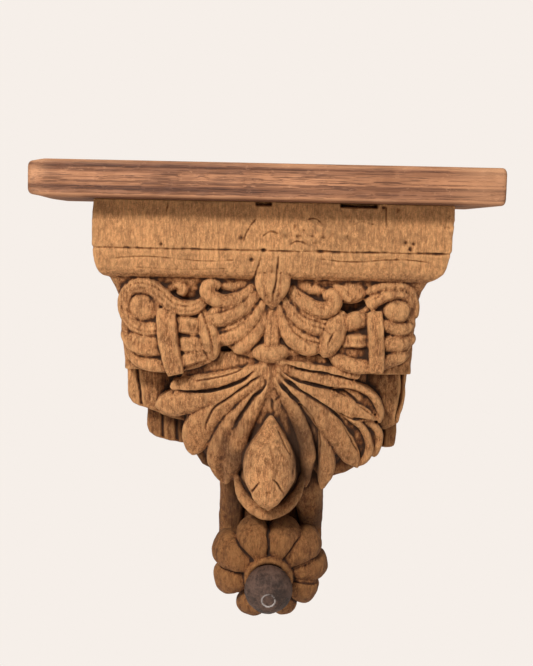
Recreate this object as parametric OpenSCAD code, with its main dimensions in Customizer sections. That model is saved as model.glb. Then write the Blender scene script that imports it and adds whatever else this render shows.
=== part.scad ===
// Carved wooden corbel bracket: a shelf board on one carved block, with a turned knob on its tip.
// X runs along the wall, Y into the wall and Z up. The origin is on the back face, in the middle of the head.
// Carved shapes are placed by [x, reach, z]: reach is the distance out from the wall, z is below the board.

/* [Shelf board] */
// Length of the board along the wall
board_w = 260; // [220:1:320]
// Depth of the board out from the wall
board_d = 115; // [112:1:140]
// Thickness of the board
board_t = 20.5; // [12:0.5:30]
// Offset of the board's middle from the bracket's middle
board_shift = -5; // [-10:0.5:10]
// Radius of the board's two worn front corners
board_corner = 6; // [2:0.5:12]
// Chamfer that stands for the worn lower and upper edges
board_ease = 1.5; // [0.5:0.1:3]

/* [Head of the block] */
// Width of the head moulding
head_w = 200; // [168:1:240]
// Reach of the head moulding from the wall
head_d = 100; // [96:1:110]
// Height of the plain upper member
fascia_h = 27; // [22:0.5:34]
// Height of the rounded band under it
band_h = 17; // [13:0.5:21]

/* [Carved field] */
// Width across the two scrolls
field_w = 174; // [145:1:210]
// Reach of the leaf root from the wall
field_d = 90; // [84:1:96]
// Drop from the board's underside to the lowest petal
drop = 252; // [210:1:303]
// Thickness of the upper leaves and bands behind their widest line
leaf_body = 17; // [14:0.5:21]
// Thickness of the fan's leaves behind their widest line
fan_body = 26; // [22:0.5:31]

/* [Scrolls] */
// Radius of the scroll's round eye
eye_r = 7.8; // [6:0.1:9]
// Radius of the scroll's outer band, at its middle line
scroll_r = 12.2; // [11:0.1:14]
// Half width of the scroll's band
scroll_half = 3.7; // [3:0.1:4.6]

/* [Back steps] */
// Reach of the upper side steps from the wall
ear_d = 62; // [52:1:74]
// Reach of the middle side steps from the wall
step_d = 50; // [42:1:60]
// Width of the tail that runs down to the lotus
tail_w = 64; // [53:1:77]
// Reach of the tail's front face from the wall
tail_d = 46; // [38:1:54]

/* [Lotus and knob] */
// Reach of the middle of the lotus from the wall
lotus_d = 80; // [76:1:88]
// Height of the lotus's middle above the lowest petal
lotus_up = 30.5; // [29:0.5:36]
// Radius over the petals
lotus_r = 36; // [33:0.5:40]
// Tilt of the lotus and knob below level, in degrees
lotus_tilt = 11; // [0:1:25]
// Largest radius of the knob
knob_r = 14; // [11:0.1:15.5]
// Radius of the knob's flat seat
knob_seat_r = 8.6; // [6:0.1:9.5]
// Radius of the small turned disc at the knob's tip
knob_tip_r = 3.9; // [2:0.1:5]
// Clear space between the knob's round side and the lip
lip_margin = 0.557; // [0.2:0.001:2]
// Radius of the round lip round the knob's seat
lip_tube = 2.2; // [1.5:0.1:2.6]

/* [Hidden] */
$fn = 48;

bone = "burlywood";
// The carving is drawn on a 174 x 252 field at a reach of 90, and stretched to the field's real size.
kx = field_w / 174;
kd = field_d / 90;
kz = drop / 252;
head_h = fascia_h + band_h;
// The moulding's bottom edge lies where the drawn field begins, 44 below the board.
drawn_head_h = 44;
mount_drop = head_h / 2;
forward = [0, -1, 0];

function unit(v) = v / norm(v);
function lerp(a, b, t) = a + (b - a) * t;
// Field height: what lies below the head hangs from its bottom edge.
function fall(z) = -head_h + (z + drawn_head_h) * (drop - head_h) / (252 - drawn_head_h);
function at(p) = [p[0] * kx, -p[1] * kd, fall(p[2])];
// A curve that starts at a, passes m halfway and ends at b.
function arc_point(a, m, b, t) =
    let (c = 2 * m - (a + b) / 2) (1 - t) * (1 - t) * a + 2 * t * (1 - t) * c + t * t * b;
function catmull(p, i, t) =
    let (a = p[max(i - 1, 0)], b = p[i], c = p[i + 1], d = p[min(i + 2, len(p) - 1)])
    0.5 * (2 * b + (c - a) * t + (2 * a - 5 * b + 4 * c - d) * t * t + (3 * b - a - 3 * c + d) * t * t * t);
function smooth_path(p, per) =
    concat([for (i = [0:len(p) - 2], k = [0:per - 1]) catmull(p, i, k / per)], [p[len(p) - 1]]);
// Leaf width along its length: narrow at the root, full at wide, round at the tip.
function leaf_width(t, root, wide) =
    t < wide ? lerp(root, 1, sin(90 * t / wide)) : sqrt(1 - pow((t - wide) / (1 - wide), 2));

// A domed top over sides that flare as they reach into the wood below: [across, out].
SECTION = [for (k = [0:4]) [cos(45 * k), sin(45 * k)], [-1.12, -1], [1.12, -1]];

// A closed carved form swept along a path; half, rise and sink hold one value for each path point.
module sweep(path, half, rise, sink) {
    n = len(path);
    m = len(SECTION);
    points = [for (i = [0:n - 1])
        let (along = unit(path[min(i + 1, n - 1)] - path[max(i - 1, 0)]),
             side = unit(cross(along, forward)), out = cross(side, along))
        for (s = SECTION) path[i] + side * s[0] * half[i] + out * s[1] * (s[1] > 0 ? rise[i] : sink[i])];
    walls = [for (i = [0:n - 2], k = [0:m - 1])
        let (a = i * m + k, b = i * m + (k + 1) % m) for (f = [[a, b, a + m], [b, b + m, a + m]]) f];
    first = [for (k = [m - 1:-1:0]) k];
    last = [for (k = [0:m - 1]) (n - 1) * m + k];
    polyhedron(points, concat(walls, [first, last]), convexity = 4);
}

// A leaf from a to b that passes m halfway, as points of the drawn field.
module leaf(a, m, b, half, rise = 4, root = 0.4, wide = 0.6, steps = 4, body = leaf_body) {
    end = 0.985;
    ts = [for (i = [0:steps]) end * sin(90 * i / steps)];
    w = [for (t = ts) leaf_width(t, root, wide)];
    sweep([for (t = ts) at(arc_point(a, m, b, t))], [for (v = w) half * v],
          [for (v = w) rise * (0.35 + 0.65 * v)], [for (v = w) body]);
}

// A band of one width along a smooth curve through points of the drawn field.
module band(points, half, rise = 4, per = 2, body = leaf_body) {
    path = [for (p = smooth_path(points, per)) at(p)];
    n = len(path) - 1;
    w = [for (i = [0:n]) i == 0 || i == n ? 0.7 : 1];
    sweep(path, [for (v = w) half * v], [for (v = w) rise * v], [for (v = w) body]);
}

// A solid between level slices, each [left edge, right edge, reach, z], from the top down.
module stack(slices) {
    n = len(slices);
    points = [for (s = slices) each [[s[0], 0, s[3]], [s[1], 0, s[3]], [s[1], -s[2], s[3]], [s[0], -s[2], s[3]]]];
    walls = [for (i = [0:n - 2], k = [0:3])
        let (a = 4 * i + k, b = 4 * i + (k + 1) % 4) for (f = [[b, a, b + 4], [b + 4, a, a + 4]]) f];
    polyhedron(points, concat(walls, [[0, 1, 2, 3], [for (k = [3:-1:0]) 4 * (n - 1) + k]]), convexity = 2);
}

module drawn_stack(rows) {
    stack([for (r = rows) [r[0] * kx, r[1] * kx, r[2], fall(r[3])]]);
}

// Fascia and rounded band of the head, moulded on the front and both ends.
module head() {
    half = head_w / 2;
    round_in = 5.5;
    stack([[-half + 0.5, half - 0.5, head_d - 2.5, 0], [-half - 0.5, half - 1.5, head_d, -fascia_h]]);
    stack([[-half + 0.5, half - 2, head_d - 1.5, -fascia_h + 2],
           [-half + 1.5, half - 3, head_d - 2, -fascia_h - band_h * 0.45],
           [-half + round_in, half - round_in - 1, head_d - round_in, -fascia_h - band_h * 0.85],
           [-half + 10, half - 9, head_d - 9, -head_h]]);
}

// The ground of the carved field, the side steps and the tail, all flat against the wall.
module block() {
    drawn_stack([[-89, 88, 86, -41], [-87.5, 85.5, 80.2, -50.5], [-85, 83.5, 77, -97]]);
    drawn_stack([[-87, 85, ear_d, -86], [-85.5, 84, ear_d, -108], [-84, 82.5, ear_d, -117],
                 [-78, 82, ear_d, -123], [-40, 80, ear_d, -133.5]]);
    drawn_stack([[-75, 77.5, step_d, -120], [-74, 77.5, step_d, -138], [-66, 76.5, step_d, -145]]);
    drawn_stack([[-57, 57, 76, -82], [-60, 60, 80, -93], [-53, 54, 73, -122], [-43, 46, 66, -145], [-35, 40, 56, -163]]);
    drawn_stack([[-14, 13, 90.5, -41], [-12.5, 11.5, 89, -47], [-9, 8, 82, -60]]);
    drawn_stack([[-8, 8.5, 84, -88], [-9, 9.5, 83, -108], [-10, 11, 80, -145]]);
    drawn_stack([[-45, 51, step_d + 3, -140], [-42, 51, step_d + 3, -158], [-36, 46, step_d, -167]]);
    tail_shift = 2.5;
    left = tail_shift - tail_w / 2;
    right = tail_shift + tail_w / 2;
    stack([[left, right, tail_d, fall(-140)], [left, right, tail_d, fall(-226)],
           [left + 8, right - 8, tail_d - 10, fall(-244)], [left + 16, right - 16, tail_d - 24, fall(-249)]]);
}

// Left or right scroll with its eye, tail, strap and the bundle that the strap ties.
module scroll(side) {
    eye = [side * 72.6, 90, -60.2];
    ring = [for (a = [40:35:285]) [eye[0] - side * scroll_r * cos(a), 89, eye[2] + scroll_r * sin(a)]];
    tail = side < 0 ? [[-37, 88, -58], [-47, 89, -61.5], [-57, 89, -58.5]] : [[55, 89, -57.5], [60, 89, -53]];
    band(concat(tail, ring, [[side * 61, 89, -73.5]]), scroll_half, per = 1);
    band([[side * 85, 84, -71], [side * 79, 88, -80.5], [side * 69, 89, -83], [side * 59, 88, -83]], 4.6);
    band([[side * 83.5, 82, -80.5], [side * 77, 85, -89.5], [side * 69, 87, -92.5], [side * 58, 87, -93]], 4.3);
    translate(at([eye[0], 86, eye[2]])) sphere(eye_r, $fn = 14);
    band([[side * 57.5, 90, -63.5], [side * 58, 92, -78], [side * 58.5, 89, -94.5]], 5.3, rise = 5.5, body = 18);
}

// The bundle's cut ends between the strap and the leaves.
module bundle() {
    for (row = [[-1, -66.8, 6], [-1, -77.8, 4.8], [-1, -88.3, 4.6], [1, -66.5, 5.6], [1, -77.3, 5]])
        band([[row[0] * 54, 87, row[1]], [row[0] * 46, 89, row[1]], [row[0] * 38.5, 87, row[1]]], row[2], per = 1);
    band([[34, 86, -86], [45, 88, -93], [57, 88, -94.5]], 3.8);
    leaf([-38.5, 88, -64], [-34.5, 90, -77], [-33, 86, -90], 4.6, root = 0.5, wide = 0.5);
    leaf([40.5, 87, -63.5], [36, 90, -74], [30, 87, -84.5], 5.6, rise = 5, root = 0.5, wide = 0.5);
}

// Drooping leaves under the head, gathered by a clasp, with a bar down to a bead.
module upper_palmette() {
    leaf([-7, 88, -45.5], [-24, 89, -54], [-41, 88, -51.5], 5.2);
    leaf([-7, 88, -50], [-21, 89, -62.5], [-36, 87, -65], 6.2);
    leaf([-5, 87, -57], [-14, 88, -71], [-31, 86, -78.5], 5);
    leaf([-4, 86, -64], [-8.5, 87, -76], [-20, 85, -84], 4);
    leaf([6.5, 88, -46], [17, 89, -57.5], [36, 88, -60.5], 5.2);
    leaf([5, 87, -53], [15.5, 88, -66.5], [32, 86, -72], 4.8);
    leaf([4, 86, -58], [11.5, 87, -74.5], [28, 86, -81], 5.4);
    leaf([33.5, 82, -45.5], [44, 84, -52.5], [56, 82, -47], 5);
    leaf([-61, 82, -54], [-56, 84, -47.5], [-50, 82, -54], 3.4);
    for (p = [[-38, 89, -49.5], [33.5, 89, -55]])
        translate(at(p)) scale([1, 0.8, 1]) sphere(6, $fn = 12);
    leaf([-0.5, 92, -37], [-0.5, 95, -47.5], [-0.2, 89, -56.5], 8.4, rise = 4, root = 0.8, wide = 0.5,
         body = 20);
    band([[0, 87, -54], [0.2, 88, -68], [0, 88, -82]], 3.9);
    translate(at([-0.5, 87, -84.8])) scale([1.6, 1.15, 1]) sphere(6.9, $fn = 14);
}

// Where a fan leaf leaves the bead, on a small half circle, from the leaf's halfway point.
function fan_root(m) = let (away = unit([m[0], m[2] + 92])) [5.5 * away[0], 85 - 0.02 * abs(m[0]), -93 + 4 * away[1]];

// The large fan of leaves that falls over the block from one root.
module fan() {
    for (row = [
        [[-30, 82, -99.5], [-57, 75, -108], 6, 0.45], [[-34, 80, -109], [-65, 71, -121.5], 7, 0.75],
        [[-27, 81, -117], [-43, 69, -147.5], 7.8, 0.7], [[-16.5, 80, -128], [-24.5, 69, -165], 8.8, 0.65],
        [[-7, 79, -128], [-14, 72, -160], 6.5, 0.6], [[27, 83, -93.5], [52, 77, -100.5], 3.6, 0.5],
        [[37, 81, -103], [66, 72, -122], 5.2, 0.7], [[34, 79, -112.5], [64.5, 72, -124.5], 6, 0.6],
        [[30, 79, -122.5], [52, 70, -152], 7.6, 0.65], [[44, 74, -124], [59, 68, -149], 6.6, 0.7],
        [[58, 70, -129], [63, 66, -145.5], 3.6, 0.6], [[22, 81, -128.5], [33.5, 69, -166], 6.2, 0.65],
        [[9, 79, -128], [15, 71, -160], 6, 0.6]])
        leaf(fan_root(row[0]), row[0], row[1], row[2], rise = 4.5, root = 0.4, wide = row[3], steps = 5,
             body = fan_body);
    leaf([0, 84, -93], [0.5, 88, -103], [0.5, 86, -120], 7, root = 0.9, wide = 0.3);
}

// The large bud in the fan, with its lip and the cup below it.
module bud() {
    leaf([1, 88, -117], [1, 95, -148], [0.6, 92, -174], 15.2, rise = 12, root = 0.08, wide = 0.6, steps = 8);
    leaf([0.6, 92, -155], [0.6, 96, -165], [0.6, 92, -176], 9, rise = 7, root = 0.6, wide = 0.5);
    band([[-18.5, 76, -157], [-15, 80, -171], [-7, 83, -180], [1, 83.5, -182], [9.5, 83, -179.5],
          [17.5, 80, -170], [20.5, 76, -156]], 3);
    translate(at([1.2, 59, -161])) rotate([8, 5, 0]) scale([1, 1, 1.15]) sphere(20.5, $fn = 16);
}

// Turns the knob's axis from +Z to out of the wall and a little down, with its seat at the lotus's middle.
module on_lotus() {
    translate([0.8, -lotus_d, -drop + lotus_up]) rotate([90 + lotus_tilt, 0, 0]) children();
}

// Angles of the nine petals round the axis, clockwise from the top as cut by hand.
PETALS = [-25, 25, 56, 90, 127, 162, -162, -114, -67];

// Petals that roll back from a round lip, and the neck that joins them to the tail.
module lotus() {
    belt = sqrt(knob_r * knob_r - knob_seat_r * knob_seat_r);
    lip_r = sqrt(pow(knob_r + lip_margin + lip_tube, 2) - belt * belt);
    boss_r = lip_r + lip_tube * 0.6;
    on_lotus() {
        for (a = PETALS) rotate([0, 0, -a]) {
            hull() {
                translate([0.3, boss_r - 2, -5.4]) rotate([12, 5, a / 7]) scale([0.8, 1, 0.8]) sphere(5.1, $fn = 7);
                translate([0, lotus_r - 11, -10]) rotate([7, 3, a / 9]) scale([1, 1, 0.9]) sphere(9.4, $fn = 11);
                translate([0.2, lotus_r - 8.2, -17]) rotate([4, 9, a / 8]) sphere(7.8, $fn = 9);
            }
        }
        translate([0, 0, -34]) cylinder(h = 34, r1 = lotus_r - 12, r2 = boss_r, $fn = 28);
        rotate_extrude($fn = 28) translate([lip_r, 0]) circle(lip_tube, $fn = 7);
    }
}

module shelf_board() {
    color("peru") translate([board_shift, -board_d / 2, board_t / 2 + mount_drop]) intersection() {
        linear_extrude(board_t, center = true) union() {
            translate([0, board_corner / 2]) square([board_w, board_d - board_corner], center = true);
            translate([0, -board_corner / 2])
                square([board_w - 2 * board_corner, board_d - board_corner], center = true);
            for (s = [-1, 1])
                translate([s * (board_w / 2 - board_corner), board_corner - board_d / 2]) circle(board_corner);
        }
        rotate([90, 0, 90]) linear_extrude(board_w, center = true)
            polygon([[-board_d / 2 + board_ease, -board_t / 2], [board_d / 2, -board_t / 2],
                     [board_d / 2, board_t / 2], [-board_d / 2 + board_ease, board_t / 2],
                     [-board_d / 2, board_t / 2 - board_ease], [-board_d / 2, board_ease - board_t / 2]]);
    }
}

module carved_corbel() {
    color(bone) translate([0, 0, mount_drop]) union() {
        head();
        block();
        scroll(-1);
        scroll(1);
        bundle();
        upper_palmette();
        fan();
        bud();
        lotus();
    }
}

module turned_knob() {
    belt = sqrt(knob_r * knob_r - knob_seat_r * knob_seat_r);
    tip = belt + sqrt(knob_r * knob_r - knob_tip_r * knob_tip_r);
    start = atan2(-belt, knob_seat_r);
    finish = atan2(tip - belt, knob_tip_r);
    facets = 24;
    color("dimgray") translate([0, 0, mount_drop]) on_lotus() rotate_extrude()
        polygon(concat([[0, 0]],
            [for (i = [0:facets]) let (a = lerp(start, finish, i / facets)) [knob_r * cos(a), belt + knob_r * sin(a)]],
            [[0, tip]]));
}

shelf_board();
carved_corbel();
turned_knob();
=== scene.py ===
# %% [markdown]
# # A carved wooden corbel bracket
# A wall bracket cut from one block of teak-like wood, with a plank on top and a dark turned knob below.
# The CAD model gives its size and place. Here each shape is worked out again with finer carving, then
# joined, worn and given a finish. Lengths are in millimetres until a mesh is made.

import bpy
import numpy as np
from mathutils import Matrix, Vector


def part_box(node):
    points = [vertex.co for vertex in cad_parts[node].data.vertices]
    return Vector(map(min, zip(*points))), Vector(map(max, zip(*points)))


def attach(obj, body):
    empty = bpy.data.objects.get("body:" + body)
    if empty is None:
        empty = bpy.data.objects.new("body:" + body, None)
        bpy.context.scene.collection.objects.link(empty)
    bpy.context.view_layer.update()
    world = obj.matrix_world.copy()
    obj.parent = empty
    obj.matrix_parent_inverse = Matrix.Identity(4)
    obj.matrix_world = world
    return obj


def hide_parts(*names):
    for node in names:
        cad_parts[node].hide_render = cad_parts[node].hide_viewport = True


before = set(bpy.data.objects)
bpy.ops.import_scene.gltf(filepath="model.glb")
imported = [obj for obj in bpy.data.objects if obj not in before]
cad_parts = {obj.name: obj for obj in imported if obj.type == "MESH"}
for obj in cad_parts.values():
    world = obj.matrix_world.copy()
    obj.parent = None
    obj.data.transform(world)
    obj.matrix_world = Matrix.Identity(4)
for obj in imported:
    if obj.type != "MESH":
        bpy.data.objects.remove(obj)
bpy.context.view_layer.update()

# %% [markdown]
# ## Places that the frame gives
# Carving is drawn as [x, reach, z]: x runs to the right, reach is the distance out from the wall and z is
# the height above the board's underside, so it is negative on the bracket. That is how a carver marks out
# a block. One function turns such points into the row's metres.

# %% Boxes of the three solids, and the carver's coordinates
board_low, board_high = (1000 * np.array(corner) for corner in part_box("shelf_board"))
corbel_low, corbel_high = (1000 * np.array(corner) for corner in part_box("carved_corbel"))
knob_low, knob_high = (1000 * np.array(corner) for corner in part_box("turned_knob"))
UNDER_BOARD = board_low[2]
OUT = np.array([0.0, 1.0, 0.0])


def to_row(points):
    """Row place in metres: x stays, y is minus the reach, and z is counted from the board's underside."""
    p = np.asarray(points, float)
    return np.stack([p[..., 0], -p[..., 1], p[..., 2] + UNDER_BOARD], axis=-1) / 1000


def from_row(points):
    """The carver's coordinates of row places in millimetres."""
    p = np.asarray(points, float)
    return np.stack([p[..., 0], -p[..., 1], p[..., 2] - UNDER_BOARD], axis=-1)


print("board", board_high - board_low, "corbel", corbel_high - corbel_low)

# %% [markdown]
# ## Camera, light and floor
# The camera stands straight in front, a little above the middle, and looks slightly down. It is turned by
# about a degree. The light is soft and comes from above and a little to the left, as by a window, and
# the pale floor and background have one cream colour.

# %% Camera
CREAM = (0.922, 0.863, 0.815, 1)
camera_data = bpy.data.cameras.new("camera")
camera_data.sensor_fit = "VERTICAL"
camera_data.sensor_height = 36
camera_data.lens = 59.6
camera_data.clip_end = 20
camera = bpy.data.objects.new("camera", camera_data)
bpy.context.scene.collection.objects.link(camera)
camera.location = (-0.0047, -0.715, 0.0075)
camera.rotation_mode = "XYZ"
pitch_down, roll = np.radians(5.44), np.radians(1.2)
camera.rotation_euler = (np.pi / 2 - pitch_down, -roll, 0)
bpy.context.scene.camera = camera
print("camera at", tuple(round(v, 4) for v in camera.location))


# %% Lights and background
def soft_light(name, place, aim, size, power, color):
    """A square lamp at place that faces aim; its -Z axis looks along the line between them."""
    data = bpy.data.lights.new(name, "AREA")
    data.size, data.energy, data.color = size, power, color
    lamp = bpy.data.objects.new(name, data)
    bpy.context.scene.collection.objects.link(lamp)
    lamp.location = place
    lamp.rotation_mode = "QUATERNION"
    lamp.rotation_quaternion = (Vector(aim) - Vector(place)).to_track_quat("-Z", "Y")
    return lamp


soft_light("window", (-0.6, -1.25, 0.85), (0, -0.05, -0.06), 0.3, 26, (1, 0.98, 0.95))
soft_light("fill", (0.9, -1.3, 0.1), (0, -0.05, -0.1), 1.0, 3, (1, 0.97, 0.94))
world = bpy.data.worlds.new("studio")
bpy.context.scene.world = world
world.use_nodes = True
bpy.context.scene.view_settings.view_transform = "Standard"

# %% [markdown]
# ## Shader maths as Python
# A finish is easier to read as arithmetic than as a web of nodes. Val wraps one output socket, so that
# a + b or 1 - mask adds the Math node for it. Finish holds one material and adds any other node.


# %% Val and Finish
class Val:
    """One socket of a finish. Arithmetic on it adds the Math nodes."""

    def __init__(self, finish, socket):
        self.finish, self.socket = finish, socket

    def math(self, operation, *values):
        """One Math node on the values, each of them a number or a Val."""
        inputs = {i: v for i, v in enumerate(values)}
        return self.finish.node("ShaderNodeMath", {"operation": operation}, inputs)

    def __add__(self, other):
        return self.math("ADD", self, other)

    def __sub__(self, other):
        return self.math("SUBTRACT", self, other)

    def __rsub__(self, other):
        return self.math("SUBTRACT", other, self)

    def __mul__(self, other):
        return self.math("MULTIPLY", self, other)

    def clamp(self):
        """The value kept between 0 and 1."""
        return self.finish.node("ShaderNodeClamp", {}, {"Value": self})

    def band(self, low, high):
        """0 below low, 1 above high and a smooth step between."""
        settings = {"interpolation_type": "SMOOTHSTEP"}
        inputs = {"Value": self, "From Min": low, "From Max": high, "To Min": 0, "To Max": 1}
        return self.finish.node("ShaderNodeMapRange", settings, inputs)

    __radd__, __rmul__ = __add__, __mul__


class Finish:
    """One material. node() adds any node: settings first, then the values or links of its sockets."""

    def __init__(self, name):
        self.material = bpy.data.materials.new(name)
        self.material.use_nodes = True
        self.tree = self.material.node_tree
        self.shader = self.tree.nodes["Principled BSDF"]

    def node(self, kind, settings, inputs, output=0):
        """Adds a node of any kind and gives back one of its outputs."""
        node = self.tree.nodes.new(kind)
        for key, value in settings.items():
            setattr(node, key, value)
        self.fill(node, inputs)
        return Val(self, node.outputs[output])

    def fill(self, node, inputs):
        """Links each Val to its socket and sets each plain value on it."""
        for key, value in inputs.items():
            if isinstance(value, Val):
                self.tree.links.new(value.socket, node.inputs[key])
            else:
                node.inputs[key].default_value = value

    def mix(self, factor, first, second):
        """A colour between first, at factor 0, and second, at factor 1."""
        first, second = (c if isinstance(c, Val) else (*c, 1) for c in (first, second))
        return self.node("ShaderNodeMix", {"data_type": "RGBA"}, {0: factor, 6: first, 7: second}, 2)

    def tint(self, factor, color, by):
        """The colour times by where factor is 1, and unchanged where it is 0."""
        settings = {"data_type": "RGBA", "blend_type": "MULTIPLY"}
        return self.node("ShaderNodeMix", settings, {0: factor, 6: color, 7: (*by, 1)}, 2)

    def place(self, stretch=(1, 1, 1), turn=(0, 0, 0)):
        """Object coordinates in metres, turned and then multiplied by stretch."""
        coords = self.node("ShaderNodeTexCoord", {}, {}, 3)
        return self.node("ShaderNodeMapping", {}, {"Vector": coords, "Rotation": turn, "Scale": stretch})

    def noise(self, vector, scale, detail=3, roughness=0.5, distortion=0):
        """Cloudy noise from 0 to 1 in which scale counts blobs per metre."""
        inputs = {"Vector": vector, "Scale": scale, "Detail": detail, "Roughness": roughness,
                  "Distortion": distortion}
        return self.node("ShaderNodeTexNoise", {}, inputs)

    def mask(self, name):
        """A number that the sculpting step stored on the mesh."""
        return self.node("ShaderNodeAttribute", {"attribute_name": name}, {}, 2)

    def bump(self, height, strength, distance):
        """A tilt of the surface that follows height, with distance in metres."""
        return self.node("ShaderNodeBump", {}, {"Height": height, "Strength": strength, "Distance": distance})


# %% [markdown]
# ## Surfaces from arrays
# Every carved form is a closed shell on a grid: rows run along it, columns run round it. The first and
# last row shrink to their middle, which closes the ends. All shells of the block are later joined.

# %% Shells
shells = []
TINY = 1e-9  # keeps a division or an index inside its range
POLE = 0.02  # radians left between a round form's last ring and its pole


def close_ends(grid):
    """The grid with its first and last row pulled to one point each."""
    first, last = grid[:1].mean(axis=1, keepdims=True), grid[-1:].mean(axis=1, keepdims=True)
    return np.concatenate([np.broadcast_to(first, grid[:1].shape), grid,
                           np.broadcast_to(last, grid[:1].shape)])


def grid_faces(rows, columns):
    """Four corners for each cell of a grid whose columns join up again, as a ring does."""
    r, c = np.meshgrid(np.arange(rows - 1), np.arange(columns), indexing="ij")
    after = (c + 1) % columns
    return np.stack([r * columns + c, r * columns + after, (r + 1) * columns + after,
                     (r + 1) * columns + c], axis=-1).reshape(-1, 4)


def shell(grid):
    """Adds one closed form to the block."""
    shells.append(close_ends(np.asarray(grid, float)))


def smooth_step(x, low, high):
    """0 below low, 1 above high, and t^2 (3 - 2t) between."""
    t = np.clip((x - low) / (high - low), 0, 1)
    return t * t * (3 - 2 * t)


def curve(points, count):
    """A smooth curve through points: a Catmull-Rom blend of four neighbours, sampled count times."""
    p = np.asarray(points, float)
    p = np.concatenate([2 * p[:1] - p[1:2], p, 2 * p[-1:] - p[-2:-1]])
    u = np.linspace(0, len(p) - 3 - TINY, count)
    i = u.astype(int)
    t = (u - i)[:, None]
    a, b, c, d = p[i], p[i + 1], p[i + 2], p[i + 3]
    return 0.5 * (2 * b + (c - a) * t + (2 * a - 5 * b + 4 * c - d) * t**2 + (3 * b - a - 3 * c + d) * t**3)


def unit(v):
    """Each vector over its own length."""
    return v / np.maximum(np.linalg.norm(v, axis=-1, keepdims=True), TINY)


# %% A form swept along a path
ACROSS = 33  # points over the top of a swept form
FOOT = np.array([1.05, 0.4, -0.4, -1.05])  # places under it, in half widths


def bell(distance, width):
    """1 at no distance, falling as exp(-(distance / width)^2)."""
    return np.exp(-((distance / width) ** 2))


def crown(v, fullness=2.0, grooves=(), hollow=0.0, tilt=0.0):
    """Height across a form, v from -1 to 1: a dome, less its hollow and grooves, plus a slope."""
    height = np.sqrt(np.maximum(1 - np.abs(v) ** fullness, 0))
    height = height - hollow * (1 - v**2) ** 2 + tilt * v
    for at, width, depth in grooves:
        height = height - depth * bell(v - at, width)
    return height


def sweep(path, half, rise, body, across, flip=1):
    """A closed form: at each path point a section of width 2 half, a crown above it and a body below."""
    path = np.asarray(path, float)
    half, rise = (np.broadcast_to(np.asarray(w, float), len(path))[:, None, None] for w in (half, rise))
    along = unit(np.gradient(path, axis=0))
    side = unit(np.stack([-along[:, 2], 0 * along[:, 0], along[:, 0]], axis=1)) * flip
    out = unit(OUT - (along @ OUT)[:, None] * along)
    v = np.sin(np.linspace(-np.pi / 2, np.pi / 2, ACROSS))
    section = crown(v, **across) if isinstance(across, dict) else across(v)
    section = np.broadcast_to(section, (len(path), len(v)))[..., None]
    top = path[:, None] + side[:, None] * v[:, None] * half + out[:, None] * section * rise
    foot = path[:, None] + side[:, None] * FOOT[:, None] * half - OUT * body
    shell(np.concatenate([top, foot], axis=1))


def strip(points, half, rise=4.0, body=16, ends=0.7, flip=1, **across):
    """A band along a smooth curve. half is one half width, or several that follow the curve."""
    path = curve(points, 12 * len(points))
    u = np.linspace(-1, 1, len(path))
    width = np.interp(u, np.linspace(-1, 1, np.size(half)),
                      np.atleast_1d(half)) * (1 - (1 - ends) * np.abs(u) ** 12)
    sweep(path, width, rise * width / width.max(), body, across, flip)


def blade(points, halves, rise=4.4, body=18, tip=0.14, web=0.0, **across):
    """A leaf along a smooth curve. halves lists its half widths, and its last part, tip, rounds off. A web,
    that many mm lower and up to 1.3 times as wide, joins it to its neighbours for most of its length."""
    path = curve(points, 16 * len(points))
    t = np.linspace(0, 1, len(path))
    half = curve(np.asarray(halves, float)[:, None], len(path))[:, 0]
    width = np.maximum(half, 0.4) * np.sqrt(1 - 0.97 * np.clip((t - 1 + tip) / tip, 0, 1) ** 2)
    flip = 1 if points[-1][0] >= points[0][0] else -1
    sweep(path, width, rise * (0.5 + 0.5 * width / width.max()), body, across, flip)
    if web:
        part = t < 0.76
        sweep(path[part] - OUT * web, width[part] * (1.3 - 0.3 * t[part]), 1.2, body, {"fullness": 3}, flip)


# %% Blocks and rounds
def block(rows, corner=2.0, steps=6):
    """A solid between levels [left, right, reach, z], with its two front edges rounded to corner."""
    rows = np.asarray(rows, float)
    left, right, reach, z = (rows[:, i][:, None] for i in range(4))
    turn = np.linspace(0, np.pi / 2, steps)[None]
    xs = [left + corner * (1 - np.cos(turn)), right - corner * (1 - np.sin(turn))]
    ds = [reach - corner * (1 - np.sin(turn)), reach - corner * (1 - np.cos(turn))]
    x = np.concatenate([left, xs[0], xs[1], right], axis=1)
    d = np.concatenate([0 * left, ds[0], ds[1], 0 * right], axis=1)
    shell(np.stack([x, d, np.broadcast_to(z, x.shape)], axis=-1))


def pad(outline, reach, back=45.0, ease=1.6):
    """Raised ground with a smooth closed outline of [x, z] points and a flat front, eased at its edge."""
    loop = curve([[x, 0, z] for x, z in [*outline, outline[0]]], 12 * len(outline))[:-1]
    middle = loop.mean(axis=0)
    rings = [(1.02, back), (1.0, reach - ease), (1 - ease / 60, reach - ease / 3), (1 - ease / 20, reach),
             (0.5, reach)]
    shell(np.stack([middle + (loop - middle) * [grow, 1, grow] + [0, out, 0] for grow, out in rings]))


def disc(center, radii, rise, fullness=3.0, back=14):
    """A round button with a flat middle: the root of 1 - r^fullness, and an edge that goes straight back."""
    r = np.sin(np.linspace(np.pi / 2, POLE, 16))[:, None]
    w = np.linspace(0, 2 * np.pi, 49)[None, :-1]
    rings = np.concatenate([np.stack([np.cos(w), 0 * w - back, np.sin(w)], axis=-1),
                            np.stack([r * np.cos(w), rise * np.sqrt(1 - r**fullness) + 0 * w, r * np.sin(w)],
                                     axis=-1)])
    shell(rings * [radii[0], 1, radii[1]] + np.asarray(center, float))


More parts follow.
